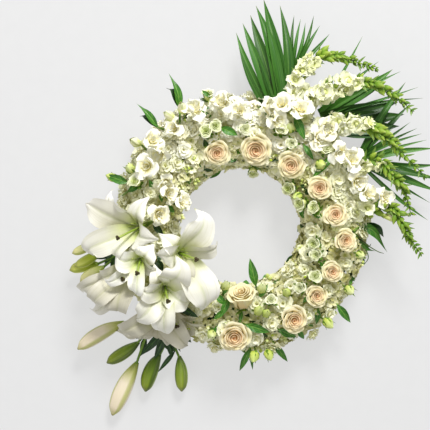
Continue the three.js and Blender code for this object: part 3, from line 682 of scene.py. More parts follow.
# Leaves in painted shade, dark sheets for the shade between the buds: foot, tip and half width.
SHADED_LEAVES = [
    (-140, -190, 40, -184, -238, 30, 8), (-138, -196, 38, -160, -246, 30, 7),
    (-134, -198, 36, -128, -244, 30, 7), (-128, -196, 36, -112, -232, 28, 5),
    (-122, -230, 30, -154, -270, 26, 4.5), (-112, -192, 40, -92, -214, 34, 6),
]


def add_long_bud(skin, foot, tip, half_width, green):
    along = tip - foot
    bow = unit(np.cross(along, at(0, 0, 1))) * skin.vary(4)
    spine = [foot, lerp(foot, tip, 0.33) + bow, lerp(foot, tip, 0.66) + bow, tip]
    grid = tube(spine, shares(half_width, *BUD_OUTLINE), 24, 26, lobes=3, depth=0.07, phase=math.pi)
    skin.add(grid, BUD, green, closed=True)


for name, root, fork, buds in LILY_BUD_STEMS:
    cluster = Skin(SEEDS["lily_buds"] + len(name))
    fork = at(*fork)
    root = on_ring(*root, STEM_DEPTH)
    add_stalk(cluster, [root, lifted(root, FOAM_TOP - 8), fork], 3.2, 12)
    for row in buds:
        foot, tip = two_places(row)
        middle = lerp(fork, foot, 0.5)
        add_stalk(cluster, [fork, lifted(middle, fork[2] + 3), lerp(foot, tip, 0.06)], 2.4, 10)
        add_long_bud(cluster, foot, tip, *row[6:])
        # Each bud has a leaf in painted shade beside its stalk.
        leaf_tip = lerp(fork, foot, 0.9) + at(cluster.vary(16), cluster.vary(16), 10)
        add_leaf(cluster, lerp(fork, foot, 0.25), leaf_tip, 6, 6, PAINTED_SHADE_LEAF, twist=cluster.vary(40))
    if name == "right":
        for row in SHADED_LEAVES:
            add_leaf(cluster, *two_places(row), row[6], 6, PAINTED_SHADE_LEAF, twist=cluster.vary(50), rows=16)
    cluster.piece(f"lily_buds_{name}")

# ---- roses

# Each rose is its angle on the ring, its distance from the centre and its diameter.
ROSES = [
    (109, 141, 50), (80, 141, 61), (51, 142, 53), (26, 155, 47), (7, 168, 46), (352, 185, 44),
    (333, 180, 41), (317, 181, 43), (299, 189, 53), (266, 195, 60),
]
ROSE_HEIGHT = 92
ROSE_LEAN = 0.6  # degrees for each millimetre off the ring's middle line
ROSE_PETALS = 19
ROSE_STALK = 2.6
UNEVENNESS = 0.02  # of a rolled petal's radius
ROSE_SEPAL = (2, 3.4, 0.4)  # half widths


def cupped_petal(skin, angle, half_turn, foot, top, rim, lip, roll, point):
    """A petal that wraps round the flower's axis: it rises from foot to top at radius rim and then
    rolls outwards over a lip. point is how much shorter its sides are than its middle."""
    rows, cols = 13, 15
    s = np.linspace(0, 1, rows)[:, None]
    u = np.linspace(-1, 1, cols)[None, :]
    s = s * (1 - point * np.abs(u) ** 2.4)
    wall = np.clip(s / 0.66, 0, 1)
    rise = np.sin(wall * math.pi / 2)
    rolled = np.clip((s - 0.66) / 0.34, 0, 1) * roll * (1 + 0.25 * np.abs(u))
    wobble = 1 + UNEVENNESS * np.sin(4.2 * u + skin.vary(3)) + UNEVENNESS * skin.vary(1)
    out = rim * (0.35 + 0.65 * rise**0.8) * wobble * (1 + 0.07 * u) + lip * (1 - np.cos(rolled))
    level = lerp(foot, top, wall**1.2) + lip * np.sin(rolled)
    level = level + 0.4 * lip * np.sin(7 * u + skin.vary(3)) * np.clip((s - 0.6) / 0.4, 0, 1)
    turn = math.radians(angle) + u * half_turn * (0.5 + 0.5 * rise)
    return np.stack([out * np.cos(turn), out * np.sin(turn), level], axis=-1)


def add_rose_head(skin, middle, aim, diameter, openness=1.0, petals=ROSE_PETALS, finish=ROSE,
                  ageing=1.0):
    """Cupped petals in a spiral, from a tight heart outwards, with sepals and a hip below them."""
    turn = turned_to(aim, skin.vary(180))
    radius = diameter / 2
    start = skin.vary(180)
    for k in range(petals):
        share = (k / (petals - 1)) ** 0.9 * openness
        grid = cupped_petal(
            skin, start + k * GOLDEN + skin.vary(12), lerp(2.2, 0.86, share**0.5),
            foot=lerp(0.1, -0.7, min(1.5 * share, 1)) * radius,
            top=radius * (0.6 - 0.42 * share**1.6 + skin.vary(0.03)),
            rim=radius * lerp(0.05, 0.74, share**0.85), lip=radius * lerp(0.045, 0.185, share**1.2),
            roll=math.radians(lerp(75, 128, share) + skin.vary(14)), point=lerp(0.08, 0.24, share),
        )
        skin.add(planted(grid, middle, turn), finish, ageing * (1 - share) ** 1.1)
    knots = [(2, -0.8 * radius), (0.55 * radius, -0.62 * radius), (0.9 * radius, -0.45 * radius)]
    for k in range(5):
        add_petal(skin, middle, turn, k * 72 + skin.vary(8), knots, ROSE_SEPAL, 8, 5, LEAF, 0.25, cup=0.2)
    add_bead(skin, middle - unit(aim) * 0.78 * radius, 0.2 * radius, GREEN_BUD, aim, 1.2)


def make_rose(number, middle, aim, diameter, openness=1.0, petals=ROSE_PETALS, ageing=1.0):
    rose = Skin(SEEDS["rose"] + number)
    foot = middle - unit(aim) * 0.7 * diameter / 2
    add_stalk(rose, [in_foam(foot), in_foam(foot, FOAM_TOP - 8), foot], ROSE_STALK)
    add_rose_head(rose, middle, aim, diameter, openness, petals, ageing=ageing)
    rose.piece(f"rose_{number}")


for number, (angle, radius, diameter) in enumerate(ROSES, 1):
    lean = ROSE_LEAN * (radius - RING_RADIUS)
    make_rose(number, on_ring(angle, radius, ROSE_HEIGHT), heading(angle, lean), diameter)
# One rose is younger and leans inwards.
make_rose(len(ROSES) + 1, on_ring(270, 130, ROSE_HEIGHT - 2), heading(100, 48), 64, 0.8, 15, 0.4)

# ---- freesias

# Each stem is where it stands in the foam, its open flowers and its buds.
FREESIAS = [
    ((121, 196), [(-85, 194), (-112, 173), (-139, 140)], [(-118, 190), (-104, 201)]),
    ((142, 196), [(-166, 146), (-166, 108), (-142, 90)], [(-181, 146)]),
    ((164, 186), [(-142, 60), (-122, 40), (-158, 24)], []),
    ((95, 192), [(-31, 212), (-2, 200), (32, 214), (55, 193)], []),
    ((64, 196), [(74, 210), (104, 196), (137, 180), (126, 157)], []),
    ((36, 194), [(158, 155), (170, 134), (190, 110), (200, 84)], []),
    ((14, 198), [(218, 50), (246, 46)], [(252, 18)]),
]
FREESIA_HEIGHT = 92
FREESIA_LEAN = 0.012
FREESIA_FOOT = FREESIA_HEIGHT - 6


def add_side_stalk(skin, hub, foot, aim, radius):
    low = lifted(hub, UNDER_FLORETS - 8)
    near = foot - aim * 14
    near[2] = min(near[2], UNDER_FLORETS)
    add_stalk(skin, [low, lerp(low, near, 0.6), near, foot + aim * 2], radius)


def add_freesia(skin, foot, aim):
    """Three outer and three inner petals round a small heart with anthers."""
    turn = turned_to(unit(aim + at(skin.vary(0.45), skin.vary(0.45), 0)), skin.vary(60))
    size = 1 + skin.vary(0.12)
    openness = skin.chance()
    for k in range(6):
        outer = k % 2 == 0
        angle = k * 60 + skin.vary(9)
        reach = (23.5 if outer else lerp(8, 18, openness)) + skin.vary(2.5)
        height = (25 if outer else lerp(36, 30, openness)) + skin.vary(2)
        belly = reach * 0.74 if outer else lerp(12, 14, openness)
        knots = [(1.6, 8), (5, 16), (10, 23), (belly, height - 1), (reach, height - 3 + skin.vary(4))]
        widths = [1.6, 4.6, 9.2, 11.5 if outer else 9.5, 3.4]
        add_petal(skin, foot, turn, angle, knots, widths, 14, 9, FREESIA, size=size, cup=0.28, ruffle=0.26,
                  waves=2.1, twist=skin.vary(28), rib=0.5, recurve=0.45, phase=skin.vary(3),
                  age=abs(skin.vary(0.12)))
    for k in range(5):
        knots = [(1.5, 12), (5, 20), (8 + skin.vary(2.5), 28 + skin.vary(3))]
        add_petal(skin, foot, turn, k * 72 + 25, knots, [1.4, 4.2, 2.4], 8, 5, FREESIA, 0.05, size, cup=0.3,
                  ruffle=0.3, phase=skin.vary(3))
    for k in range(3):
        anther = rising(on_ring(k * 120 + 40, 1, 0), [(1, 12), (2, 21), (2.8, 27)])
        grid = planted(tube(anther, [0.7, 0.8, 1.3], 5, 7), foot, turn)
        skin.add(grid, FREESIA, 0.0, closed=True, tint=0.2)


def add_freesia_bud(skin, foot, aim):
    aim = unit(aim + at(skin.vary(0.4), skin.vary(0.4), 0) + unit(foot * at(1, 1, 0)) * 0.5)
    spine = [foot, foot + aim * 15, foot + aim * 32]
    shape = tube(spine, [1.8, 5.5, 7.8, 6.6, 1.2], 14, 16, lobes=3, depth=0.16)
    skin.add(shape, LISIANTHUS_PETAL, 0.35, closed=True)
    turn = turned_to(aim, skin.vary(180))
    knots = [(3, 6), (7.6, 15), (7, 25), (3.5, 33)]
    for k in range(3):
        add_petal(skin, foot, turn, k * 120, knots, [2, 6, 5.5, 1], 12, 7, FREESIA, 0.5, cup=0.45)


for number, (root, florets, buds) in enumerate(FREESIAS, 1):
    spray = Skin(SEEDS["freesia"] + number)
    hub = add_hub(spray, root, FREESIA_FOOT, 2.6)
    for kind, places in ((add_freesia, florets), (add_freesia_bud, buds)):
        for x, y in places:
            foot = at(x, y, FREESIA_FOOT)
            aim = (foot - hub) * FREESIA_LEAN
            aim[2] = 1
            aim = unit(aim)
            add_side_stalk(spray, hub, foot, aim, 1.8)
            kind(spray, foot, aim)
    spray.piece(f"freesia_{number}")

# ---- snapdragons

# Each spike is the way that its stalk takes and the share of it that has open flowers.
SNAPDRAGONS = [
    ([(70, 178), (92, 238), (114, 284), (140, 302), (172, 302), (208, 292), (238, 281)], 0.45),
    ([(100, 182), (122, 228), (160, 246), (204, 258), (240, 250), (274, 232), (302, 208)], 0.54),
    ([(132, 154), (158, 182), (196, 184), (230, 174), (262, 152), (292, 124), (326, 90)], 0.5),
    ([(170, 92), (208, 112), (244, 118), (266, 92), (282, 74), (293, 54), (301, 24)], 0.32),
    ([(184, 46), (224, 28), (262, 34), (280, 14), (292, -10), (304, -28), (318, -48)], 0.22),
]
SNAP_START = 0.1  # share of the stalk that is bare
SNAP_PITCH = 10.5
SPIKE_STEPS = 200
SNAP_SIZE = 19.5
HANG = at(-0.2, -0.45, 0)  # open florets hang to the side that leans on the ring


def snapdragon_stalk(route):
    """The stalk's way with its height, which rises out of the florets and sinks to the tip."""
    last = len(route) - 1
    return [
        at(x, y, 60 + 54 * math.sin(math.pi * min(0.9 * i / last, 0.7)) - 8 * i / last)
        for i, (x, y) in enumerate(route)
    ]


def add_snap_floret(skin, foot, out, along, size, lime):
    """Two lips on a short tube, with a yellow mound between them and ruffled lobes round it."""
    turn = turned_to(unit(out + along * 0.5 + at(skin.vary(0.3), skin.vary(0.3), 0.2)), skin.vary(30))
    throat = tube([at(0, 0, 0), at(0, 0, 0.4 * size), at(0, 0, 0.62 * size)],
                  shares(size, 0.14, 0.22, 0.3), 9, 6, 2, 0.08)
    skin.add(planted(throat, foot, turn), SNAP, 0.3, closed=True)
    mound = planted(at(0.08 * size, 0, 0.6 * size), foot, turn)
    add_bead(skin, mound, 0.24 * size, SNAP, turn @ at(0, 0, 1), 0.7, 8, 5, 2, 0.12, age=0.8, along=0.9)
    for k in range(5):
        angle = k * 72 + skin.vary(16)
        reach = size * (0.8 + skin.vary(0.24))
        rise = size * (0.84 + skin.vary(0.3))
        knots = [(0.2 * size, 0.46 * size), (0.5 * size, 0.86 * size), (reach, rise)]
        widths = shares(size, 0.18, 0.42, 0.5, 0.24)
        add_petal(skin, foot, turn, angle, knots, widths, 9, 7, SNAP, cup=0.22, ruffle=0.34, waves=1.7,
                  recurve=0.4, twist=skin.vary(45), phase=skin.vary(3), age=lime + 0.2 * skin.chance(),
                  start=0.2)


def add_spike_bud(skin, place, out, along, size, green):
    aim = unit(out + along * (1.15 + skin.vary(0.5)))
    foot = place + out * 1.2
    bend = foot + aim * size * 1.3 + out * 0.15 * size
    shape = tube([foot, bend, foot + aim * size * 2.7],
                 shares(size, 0.28, 0.62, 0.6, 0.36, 0.08), 7, 8, 2, 0.16)
    skin.add(shape, GREEN_BUD, green, closed=True)


def make_snapdragon(number, route, open_share):
    spike = Skin(SEEDS["snapdragon"] + number)
    knots = snapdragon_stalk(route)
    add_stalk(spike, [in_foam(knots[0]), lerp(knots[0], knots[1], 0.1)], 2.2)
    spike.add(tube(knots, [2.5, 2.5, 2.3, 2, 1.6, 1.2, 0.8], 7, 40), STALK, 0.0, closed=True)
    path = spline(knots, SPIKE_STEPS)
    ways = directions(path)
    length = np.linalg.norm(np.diff(path, axis=0), axis=1).sum()
    count = int(length / SNAP_PITCH)
    for k in range(int(SNAP_START * count), count + 1):
        reach = k / count
        step = min(int(reach * (SPIKE_STEPS - 1)), SPIKE_STEPS - 1)
        place, along = path[step], ways[step]
        across = unit(np.cross(at(0, 0, 1), along))
        up = np.cross(along, across)
        opened = reach < open_share
        youth = max(0.0, (reach - open_share) / (1 - open_share))
        whorl = 2 if opened else 4
        for j in range(whorl):
            turn = math.radians(j * 360 / whorl + k * 68 + spike.vary(16))
            out = across * math.cos(turn) + up * math.sin(turn)
            if opened:
                if out[2] < -0.35:
                    out = out * at(1, 1, -0.6)
                out = out + HANG
                size = SNAP_SIZE * (1 - 0.26 * reach / open_share) * (1 + spike.vary(0.14))
                if spike.chance() < 0.16 + 0.3 * (reach / open_share) ** 3:
                    add_spike_bud(spike, place, unit(out), along, 6.5 + spike.vary(1), 0.1)
                else:
                    lime = 0.04 + 0.36 * (reach / open_share) ** 2
                    add_snap_floret(spike, place + out * 2, unit(out), along, size, lime)
            else:
                size = lerp(7.2, 2.4, youth**0.8) * (1 + spike.vary(0.4))
                add_spike_bud(spike, place, out, along, size, 0.2 + 0.8 * youth * spike.chance())
        for _ in range(3 if opened else 2):
            sway = across * spike.vary(13) + along * 8 + at(0, 0, 2 + spike.vary(5))
            tip = place + sway * lerp(1.7, 0.9, youth)
            add_leaf(spike, place, tip, 2.7 if opened else 1.8, 1, rows=6, cols=3, age=0.35)
    spike.piece(f"snapdragon_{number}")


for number, (route, open_share) in enumerate(SNAPDRAGONS, 1):
    make_snapdragon(number, route, open_share)

# ---- lisianthus

# Root in the foam, open flowers, closed buds, and leaves as foot, tip and half width.
LISIANTHUS = [
    ((107, 190), [(-63, 166), (-49, 177), (-61, 226)], [(-50, 210)],
     [(-38, 176, 96, -8, 162, 98, 7.5), (-58, 232, 80, -72, 244, 80, 4)]),
    ((76, 184), [(2, 172), (65, 167), (90, 149), (20, 107)], [(88, 170)],
     [(94, 198, 94, 112, 154, 98, 8), (44, 198, 96, 57, 172, 98, 6),
      (110, 146, 92, 128, 118, 94, 5)]),
    ((40, 190), [(143, 134)], [(136, 112)], [(166, 130, 90, 124, 84, 92, 6.5)]),
    ((38.8, 144), [(91, 73), (114, 43)], [(106, 56)], []),
    ((358, 148), [(137, 30), (133, -30)], [], []),
    ((322, 152), [(137, -52), (131, -92), (108, -110)], [(81, -122)], []),
    ((279, 160), [(52, -136)], [(34, -118), (26, -156), (42, -160)],
     [(25, -108, 78, 14, -58, 84, 8), (6, -176, 94, 50, -190, 92, 8),
      (30, -128, 90, 46, -104, 90, 5)]),
    ((277, 194), [], [(45, -224), (24, -226)],
     [(14, -222, 68, -4, -264, 52, 6), (58, -212, 64, 84, -248, 46, 6),
      (16, -226, 64, 20, -262, 52, 3),
      (66, -186, 86, 98, -200, 78, 7), (100, -186, 84, 112, -204, 74, 5)]),
    ((254, 162), [], [(-33, -116), (-56, -191)],
     [(-24, -130, 88, -38, -162, 88, 6.5), (-30, -140, 88, -50, -120, 90, 6),
      (-30, -150, 86, -52, -168, 84, 5), (-34, -124, 88, -22, -100, 92, 3)]),
    ((337, 200), [], [(207, -50), (188, -110), (148, -168)],
     [(172, -142, 70, 198, -176, 54, 7), (138, -150, 74, 135, -178, 62, 5)]),
    ((152, 197), [(-184, 74)], [(-197, 99), (-226, 85)],
     [(-206, 78, 76, -246, 92, 64, 8), (-205, 62, 84, -178, 78, 86, 6)]),
]
LISIANTHUS_HEIGHT = 88
LISIANTHUS_DROOP = 1.1  # how far flowers past the ring's edge hang, for each millimetre past it
LISIANTHUS_BUD = (14.0, 21.0)  # radius and height
FURLED_OUTLINE = (0.3, 0.85, 1.0, 0.92, 0.62, 0.12)


def add_lisianthus_bud(skin, foot, aim):
    """Petals wrapped round one another, with narrow sepals standing beside them."""
    radius, height = LISIANTHUS_BUD
    aim = unit(aim + at(skin.vary(0.3), skin.vary(0.3), 0))
    size = 2 * radius * (1 + skin.vary(0.12))
    middle = foot + aim * height * 0.6
    add_rose_head(skin, middle, aim, size, 0.9, 12, LISIANTHUS_PETAL, 0.5 + skin.vary(0.3))
    turn = turned_to(aim, skin.vary(180))
    for k in range(3):
        knots = [(2, -1), (radius * 0.95, 5), (radius * 1.15, 13 + skin.vary(3))]
        add_petal(skin, foot, turn, k * 120, knots, [1.6, 1.8, 0.2], 8, 3, GREEN_BUD, 0.5, cup=0.2)


def add_closed_bud(skin, foot, aim):
    """A bud that shows only the furled tip of its petals above its green sepals."""
    aim = unit(aim + at(skin.vary(0.35), skin.vary(0.35), 0))
    length = 25 + skin.vary(3)
    spine = [foot, foot + aim * length * 0.5, foot + aim * length]
    radius = 8.4 + skin.vary(0.9)
    shape = tube(spine, shares(radius, *FURLED_OUTLINE), 16, 14, lobes=5, depth=0.09)
    skin.add(shape, LISIANTHUS_PETAL, 0.5 + 0.3 * skin.chance(), closed=True)
    turn = turned_to(aim, skin.vary(180))
    for k in range(5):
        knots = [(1.5, 0), (radius * 1.02, 6), (radius * 0.98, 12), (radius * 1.2, 19 + skin.vary(3))]
        add_petal(skin, foot, turn, k * 72, knots, [1.6, 2.4, 1.6, 0.2], 9, 3, GREEN_BUD, 0.8, cup=0.2)


for number, (root, flowers, buds, leaves) in enumerate(LISIANTHUS, 1):
    spray = Skin(SEEDS["lisianthus"] + number)
    hub = add_hub(spray, root, LISIANTHUS_HEIGHT - 2, 2.4)
    for x, y in flowers + buds:
        from_middle = math.hypot(x, y) - RING_RADIUS
        past_edge = max(abs(from_middle) - 42, 0)
        foot = at(x, y, LISIANTHUS_HEIGHT - LISIANTHUS_DROOP * past_edge)
        aim = unit(at(x, y, 0)) * from_middle / 60
        aim[2] = 1
        add_side_stalk(spray, hub, foot, unit(aim), 1.6)
        (add_lisianthus_bud if (x, y) in flowers else add_closed_bud)(spray, foot, aim)
    for row in leaves:
        foot, tip = two_places(row)
        add_side_stalk(spray, hub, foot, unit(tip - foot), 1.6)
        add_leaf(spray, foot, tip, row[6], 5, rows=20, cols=9, cup=0.3, twist=spray.vary(25))
    spray.piece(f"lisianthus_{number}")

# ---- long leaves

# Each leaf is its foot, its tip, the knee between them and its half width.
LEAF_STEMS = [
    ("upper_left", (124, 200), [
        (-112, 212, 74, -132, 275, 78, -116, 242, 84, 9),
        (-152, 178, 74, -190, 221, 72, -168, 200, 78, 8),
    ]),
    ("right", (357, 200), [
        (214, 0, 70, 264, -48, 62, 238, -10, 76, 11),
        (210, -22, 66, 243, -46, 56, 226, -40, 62, 5),
    ]),
]

TENDRILS = [
    [at(206, -20, 66), at(226, -34, 66), at(246, -46, 60), at(258, -50, 54)],
    [at(208, -24, 64), at(224, -42, 62), at(230, -58, 56), at(222, -72, 50)],
]

for name, root, leaves in LEAF_STEMS:
    sprig = Skin(SEEDS["long_leaves"] + len(name))
    hub = on_ring(*root, LISIANTHUS_HEIGHT - 4)
    add_stalk(sprig, [on_ring(*root, STEM_DEPTH), hub], 2.6)
    for row in leaves:
        foot, tip = two_places(row)
        bend, half_width = at(*row[6:9]), row[9]
        along = tip - foot
        side = unit(at(-along[1], along[0], 0))
        add_stalk(sprig, [hub - at(0, 0, 2), lerp(hub, foot, 0.5), foot], 2.2)
        for share, sway in ((1.0, 0.0), (0.66, 0.9)):
            end = foot + along * share + side * sway * half_width * 1.6 - at(0, 0, 8 * abs(sway))
            knee = bend + side * sway * half_width * 0.8 - at(0, 0, 4 * abs(sway))
            widths = shares(half_width, 0.15, 0.7, 0.75, 0.35) + [0.1]
            grid = blade([foot, knee, end], widths, side, 26, 9, cup=0.35, ruffle=0.08, rib=0.8,
                         twist=70 * share + sprig.vary(25), phase=sprig.vary(3))
            # The smaller leaf of each pair is in painted shade.
            sprig.add(grid, LEAF if share == 1 else PAINTED_SHADE_LEAF)
    if name == "right":
        for curl in TENDRILS:
            sprig.add(tube(curl, [1.1, 1.0, 0.8, 0.5], 6, 20), STALK, 0.7, closed=True)
    sprig.piece(f"long_leaves_{name}")

# ---- palm leaves

# Each palm leaf is where it stands in the foam, its hub, its fingers as tip and half width, and how far
# the fingers' feet stand apart.
PALMS = [
    ((80, 196), (62, 230, 44),
     [(-5, 324, 5), (-10, 353, 7), (2, 370, 9), (16, 385, 11), (26, 402, 11.5), (40, 414, 11.5),
      (70, 403, 9)], 7.6),
    ((66, 198), (99, 292, 42),
     [(96, 385, 3.2), (108, 378, 3.2), (117, 372, 3.4), (132, 384, 3.6), (143, 366, 3.6), (161, 351, 3.8),
      (161, 325, 3.2)], 1.6),
    ((50, 200), (150, 200, 44),
     [(221, 346, 3), (250, 300, 4), (276, 286, 12), (262, 262, 5), (290, 282, 4), (322, 253, 3),
      (331, 233, 3), (286, 226, 15), (298, 204, 16), (288, 182, 16), (262, 164, 14)], 2),
    ((28, 200), (226, 122, 44),
     [(299, 262, 6.5), (309, 224, 5.5), (307, 189, 3), (320, 178, 3), (328, 168, 3), (338, 157, 3),
      (354, 142, 6), (358, 112, 6.5), (360, 84, 7.5), (360, 62, 7.5), (344, 42, 3), (340, 10, 4)], 2.4),
]
PALM_ARCH = 10
FINGER_ROWS = 26
PLATE_WIDTH = 13  # fingers wider than this lie under the others and get painted shade


def add_finger(skin, foot, tip, half_width, lift, longest):
    """A finger of a palm leaf: a narrow strip with a V fold that arches over and ends in a point."""
    flat = tip - foot
    side = unit(at(-flat[1], flat[0], 0))
    length = np.linalg.norm(flat)
    sway = skin.vary(0.045) * length
    spine = []
    for share in (0.0, 0.25, 0.5, 0.75, 1.0):
        out = share * length / longest
        arch = PALM_ARCH * math.sin(math.pi * min(out * 1.2, 1))
        swing = side * sway * math.sin(math.pi * share)
        spine.append(foot + flat * share + swing + at(0, 0, arch + lift * share))
    widths = shares(half_width, 0.8, 1, 0.96, 0.6) + [0.06]
    grid = blade(spine, widths, side, FINGER_ROWS, 5, cup=0.45, twist=skin.vary(24), rib=0.5)
    dark_foot = 0.3 * (1 - np.linspace(0, 1, FINGER_ROWS)[:, None])
    # Painted shade on the wide fingers; the others darken towards the foot.
    skin.add(grid, PALM, 0.75 if half_width > PLATE_WIDTH else dark_foot)


for number, (root, hub, tips, spacing) in enumerate(PALMS, 1):
    fan = Skin(SEEDS["palm_leaf"] + number)
    hub = at(*hub)
    foot = on_ring(*root, STEM_DEPTH + 4)
    middle_tip = tips[len(tips) // 2]
    inward = unit(hub - lifted(middle_tip, hub[2]))
    add_stalk(fan, [foot, lifted(foot, FOAM_TOP - 10), hub, hub - inward * 12], 2.6, 14)
    ends = [at(x, y, hub[2]) for x, y, _ in tips]
    longest = max(np.linalg.norm(end - hub) for end in ends)
    spread = at(-inward[1], inward[0], 0) * spacing
    for i, end in enumerate(ends):
        start = hub + inward * 6 + spread * (i - (len(ends) - 1) / 2) + at(0, 0, fan.vary(2))
        add_finger(fan, start, end, tips[i][2], fan.vary(6), longest)
    fan.piece(f"palm_leaf_{number}")

# ---- clumps of small florets

CLUMP_COUNT = 8
CLUMP_OUTSIDE = [
    (-1, 0), (-1.02, 0.45), (-0.75, 0.85), (-0.3, 1), (0.3, 1), (0.75, 0.85), (1.02, 0.45), (1, 0),
]
LILY_ANGLE = 205
LILY_ARC = 75
THINNING = 0.16
# How far each clump's florets are past pure white: partly their own cream tone, partly painted shade that
# keeps the sides and bottom of the ring darker than its top.
CREAM_AND_SHADE = (0.3, 0.0, 0.0, 0.3, 0.24, 0.24, 0.28, 0.34)
ARC_ACROSS = 232  # from one foot of the arch of florets over its top to the other
BUD_GROUPS = 16  # in a clump, three buds each
SMALL_LEAVES = 64
# How many double flowers a clump has, and where on its arch they begin and how far they spread. Clumps
# up to the last lush one have more of them, on their outer half.
LUSH, SPARSE = (32, 0.5, 0.42), (12, 0.25, 0.6)
LAST_LUSH = 4
# The rounds of a double flower: reach, lift, petals and half width.
ROUNDS = ((1.0, 0.22, 6, 0.5), (0.74, 0.5, 5, 0.42), (0.4, 0.72, 4, 0.3))
FLORET_SPACING = 12.5
SHOWING_LEAVES = 0.16  # share of the small leaves that stand clear of the florets
FLORET_RADIUS = 10.5
ARCH = spline(CLUMP_OUTSIDE, 80)


def fullness(angle):
    """How high and wide the arch of florets is there: it is lower under the lilies."""
    away = min(abs(angle - LILY_ANGLE) / LILY_ARC, 1)
    return 1 - THINNING * math.cos(away * math.pi / 2)


def clump_surface(angle, share):
    """A point of the arch of florets and the way out of it. share goes from its inner foot to its
    outer one."""
    full = fullness(angle)
    index = min(max(share, 0), 1) * (len(ARCH) - 1)
    i = min(int(index), len(ARCH) - 2)
    across, up = lerp(ARCH[i], ARCH[i + 1], index - i)
    d_across, d_up = ARCH[i + 1] - ARCH[i]
    tall = CLUMP_TOP - CLUMP_FOOT
    place = on_ring(angle, RING_RADIUS + across * CLUMP_WIDTH / 2 * full, CLUMP_FOOT + up * tall * full)
    normal = on_ring(angle, -d_up * tall, 0) + at(0, 0, d_across * CLUMP_WIDTH / 2)
    return place, unit(normal)


def add_floret(skin, place, normal, radius, shade):
    """Four or five round petals with toothed edges around a green eye."""
    turn = turned_to(unit(normal), skin.vary(180))
    count = 4 if skin.chance() < 0.7 else 5
    flare = skin.vary(0.15)
    for k in range(count):
        angle = k * 360 / count + skin.vary(8)
        reach = radius * (1 + skin.vary(0.12))
        lift = radius * (0.3 + flare + skin.vary(0.12))
        knots = [(0.06 * reach, -2), (0.55 * reach, lift * 0.6), (reach, lift)]
        widths = shares(reach, 0.1, 0.42, 0.52, 0.3)
        add_petal(skin, place, turn, angle, knots, widths, 6, 5, FLORET, shade, teeth=0.09 * reach,
                  cup=0.22, ruffle=0.22, waves=2.0, twist=skin.vary(14), phase=skin.vary(3))
    add_bead(skin, place + normal * 0.5, 1.4, LISIANTHUS_PETAL, normal, 0.7, 5, 3, age=0.8)


def add_ruffled_flower(skin, place, normal, radius, shade):
    """A double flower of crumpled petals in three rounds, the inner ones upright."""
    turn = turned_to(unit(normal), skin.vary(180))
    for reach, lift, count, width in ROUNDS:
        for k in range(count):
            angle = k * 360 / count + skin.vary(16) + 40 * lift
            far = radius * reach * (1 + skin.vary(0.14))
            high = radius * (lift + skin.vary(0.12))
            knots = [(0.06 * far, -3), (0.55 * far, high * 0.75), (far, high)]
            widths = [0.08 * radius] + shares(width * radius, 0.8, 1, 0.6)
            add_petal(skin, place, turn, angle, knots, widths, 8, 7, FREESIA, shade, start=0.42, cup=0.25,
                      ruffle=0.36, waves=2.1, recurve=0.25, twist=skin.vary(24), phase=skin.vary(3))


def add_small_leaf(skin, place, normal):
    way = unit(np.cross(normal, at(skin.vary(1), skin.vary(1), skin.vary(1))))
    depth, reach, rise = (1, 13, 6) if skin.chance() < SHOWING_LEAVES else (-10, 6, 0)
    foot = place + normal * depth
    tip = place + way * (15 + reach * skin.chance()) + normal * (rise + skin.vary(4))
    tip[2] = max(tip[2], 6)
    half_width = 5 + skin.vary(1.8)
    # A share of the small leaves are in painted shade, for dark gaps between the florets.
    finish = PAINTED_SHADE_LEAF if skin.chance() < 0.4 else LEAF
    add_leaf(skin, foot, tip, half_width, 2, finish, rows=8, cols=5)


def make_clump(number):
    clump = Skin(SEEDS["floret_clump"] + number)
    # cream holds the clump's cream tone and its painted side shade.
    cream = CREAM_AND_SHADE[number - 1]
    span = 360 / CLUMP_COUNT
    start = (number - 1) * span
    arc = 2 * math.pi * RING_RADIUS * span / 360
    columns, rows = round(arc / FLORET_SPACING), round(ARC_ACROSS / FLORET_SPACING)
    for i in range(columns):
        for j in range(rows):
            angle = start + span * (i + 0.5 + clump.vary(0.4)) / columns
            share = (j + 0.5 + clump.vary(0.4)) / rows
            place, normal = clump_surface(angle, share)
            lean = unit(normal + at(clump.vary(0.4), clump.vary(0.4), clump.vary(0.4)))
            # Painted shade: florets sunk deeper or sitting lower on the arch are darkened, and each clump's
            # cream share adds to it.
            sunk = clump.vary(3.5) - 3
            low = max(0.0, 1 - (place[2] - CLUMP_FOOT) / 30)
            shade = min(0.6, max(0.0, -sunk / 14) + 0.25 * low) * (0.4 + 2.5 * cream) + cream
            add_floret(clump, place + normal * sunk, lean, FLORET_RADIUS * (1 + clump.vary(0.18)), shade)
    many, first, spread = LUSH if number <= LAST_LUSH else SPARSE
    for k in range(many):
        angle = start + span * (k + 0.5 + clump.vary(0.5)) / many
        outward = first + spread * ((k * 0.618) % 1)
        place, normal = clump_surface(angle, outward + clump.vary(0.05))
        lean = unit(normal + at(clump.vary(0.4), clump.vary(0.4), clump.vary(0.2)))
        foot = place + normal * (4 + clump.vary(4))
        # The ruffled flowers take the clump's cream share too: cream tone and painted side shade.
        add_ruffled_flower(clump, foot, lean, 15.5 + clump.vary(3), cream + 0.15 * clump.chance())
    for _ in range(BUD_GROUPS):
        place, normal = clump_surface(start + span * clump.chance(), 0.08 + 0.84 * clump.chance())
        size = 3.2 + clump.vary(1.0)
        for _ in range(3):
            near = place + normal * 4 + at(clump.vary(6), clump.vary(6), clump.vary(2))
            add_bead(clump, near, size, LISIANTHUS_PETAL, normal, 1.15, 8, 7, 3, 0.1, age=clump.chance())
    for _ in range(SMALL_LEAVES):
        add_small_leaf(clump, *clump_surface(start + span * clump.chance(), 0.03 + 0.94 * clump.chance()))
    clump.piece(f"floret_clump_{number}")


for number in range(1, CLUMP_COUNT + 1):
    make_clump(number)

# ---- foam and tray

for node, material in (("foam_ring", foam_finish()), ("tray", tray_finish())):
    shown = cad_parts[node]
    shown.data.materials.clear()
    shown.data.materials.append(material)

# ---- floor, light and camera

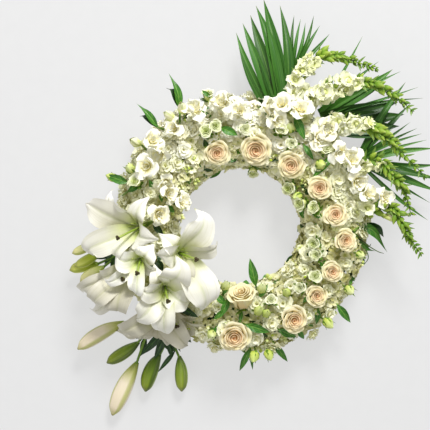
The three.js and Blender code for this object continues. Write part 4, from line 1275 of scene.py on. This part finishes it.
FLOOR_SIZE = 8.0
FLOOR_GLOW = 0.6  # the floor is a lit panel, so that shadows on it stay faint
SENSOR = 36.0
VIEW_CENTRE = ORIGIN + at(-48.6, 19.8, 80) * MM  # what the camera looks down on
VIEW_WIDTH = 0.774  # metres across the view at that height
CAMERA_HEIGHT = 2.5
WHITE = (1.0, 1.0, 1.0, 1.0)
WORLD_STRENGTH = 0.44
# Name, place and size in metres, and power in watts.
LAMPS = [("key", (0.5, 2.0, 2.0), 0.9, 84), ("fill", (-1.6, -0.9, 2.2), 2.0, 9)]


def make_floor():
    mesh = bpy.data.meshes.new("floor")
    half = FLOOR_SIZE / 2
    corners = [(-half, -half, 0), (half, -half, 0), (half, half, 0), (-half, half, 0)]
    mesh.from_pydata(corners, [], [(0, 1, 2, 3)])
    floor = bpy.data.objects.new("floor", mesh)
    bpy.context.scene.collection.objects.link(floor)
    f = Finish("pale floor", 0.9, 0.1)
    grain = f.noise(40.0, detail=4.0)
    base = f.mix(f.scaled(grain, 0.3, 0.7), "#797979", "#7b7b7b")
    mesh.materials.append(f.done(base, grain, 0.02, 0.2))
    f.shader.inputs["Emission Color"].default_value = WHITE
    f.shader.inputs["Emission Strength"].default_value = FLOOR_GLOW


def make_light(name, place, size, power):
    data = bpy.data.lights.new(name, "AREA")
    data.shape, data.size, data.energy = "DISK", size, power
    lamp = bpy.data.objects.new(name, data)
    lamp.location = place
    lamp.rotation_euler = (Vector((0, 0, 0)) - Vector(place)).to_track_quat("-Z", "Y").to_euler()
    bpy.context.scene.collection.objects.link(lamp)


def make_camera():
    data = bpy.data.cameras.new("camera")
    data.sensor_width = SENSOR
    data.lens = SENSOR * (CAMERA_HEIGHT - VIEW_CENTRE[2]) / VIEW_WIDTH
    camera = bpy.data.objects.new("camera", data)
    camera.location = (VIEW_CENTRE[0], VIEW_CENTRE[1], CAMERA_HEIGHT)
    bpy.context.scene.collection.objects.link(camera)
    bpy.context.scene.camera = camera


make_floor()
for lamp in LAMPS:
    make_light(*lamp)
make_camera()
world = bpy.data.worlds.new("studio")
world.use_nodes = True
world.node_tree.nodes["Background"].inputs["Color"].default_value = WHITE
world.node_tree.nodes["Background"].inputs["Strength"].default_value = WORLD_STRENGTH
bpy.context.scene.world = world
bpy.context.scene.view_settings.view_transform = "Standard"
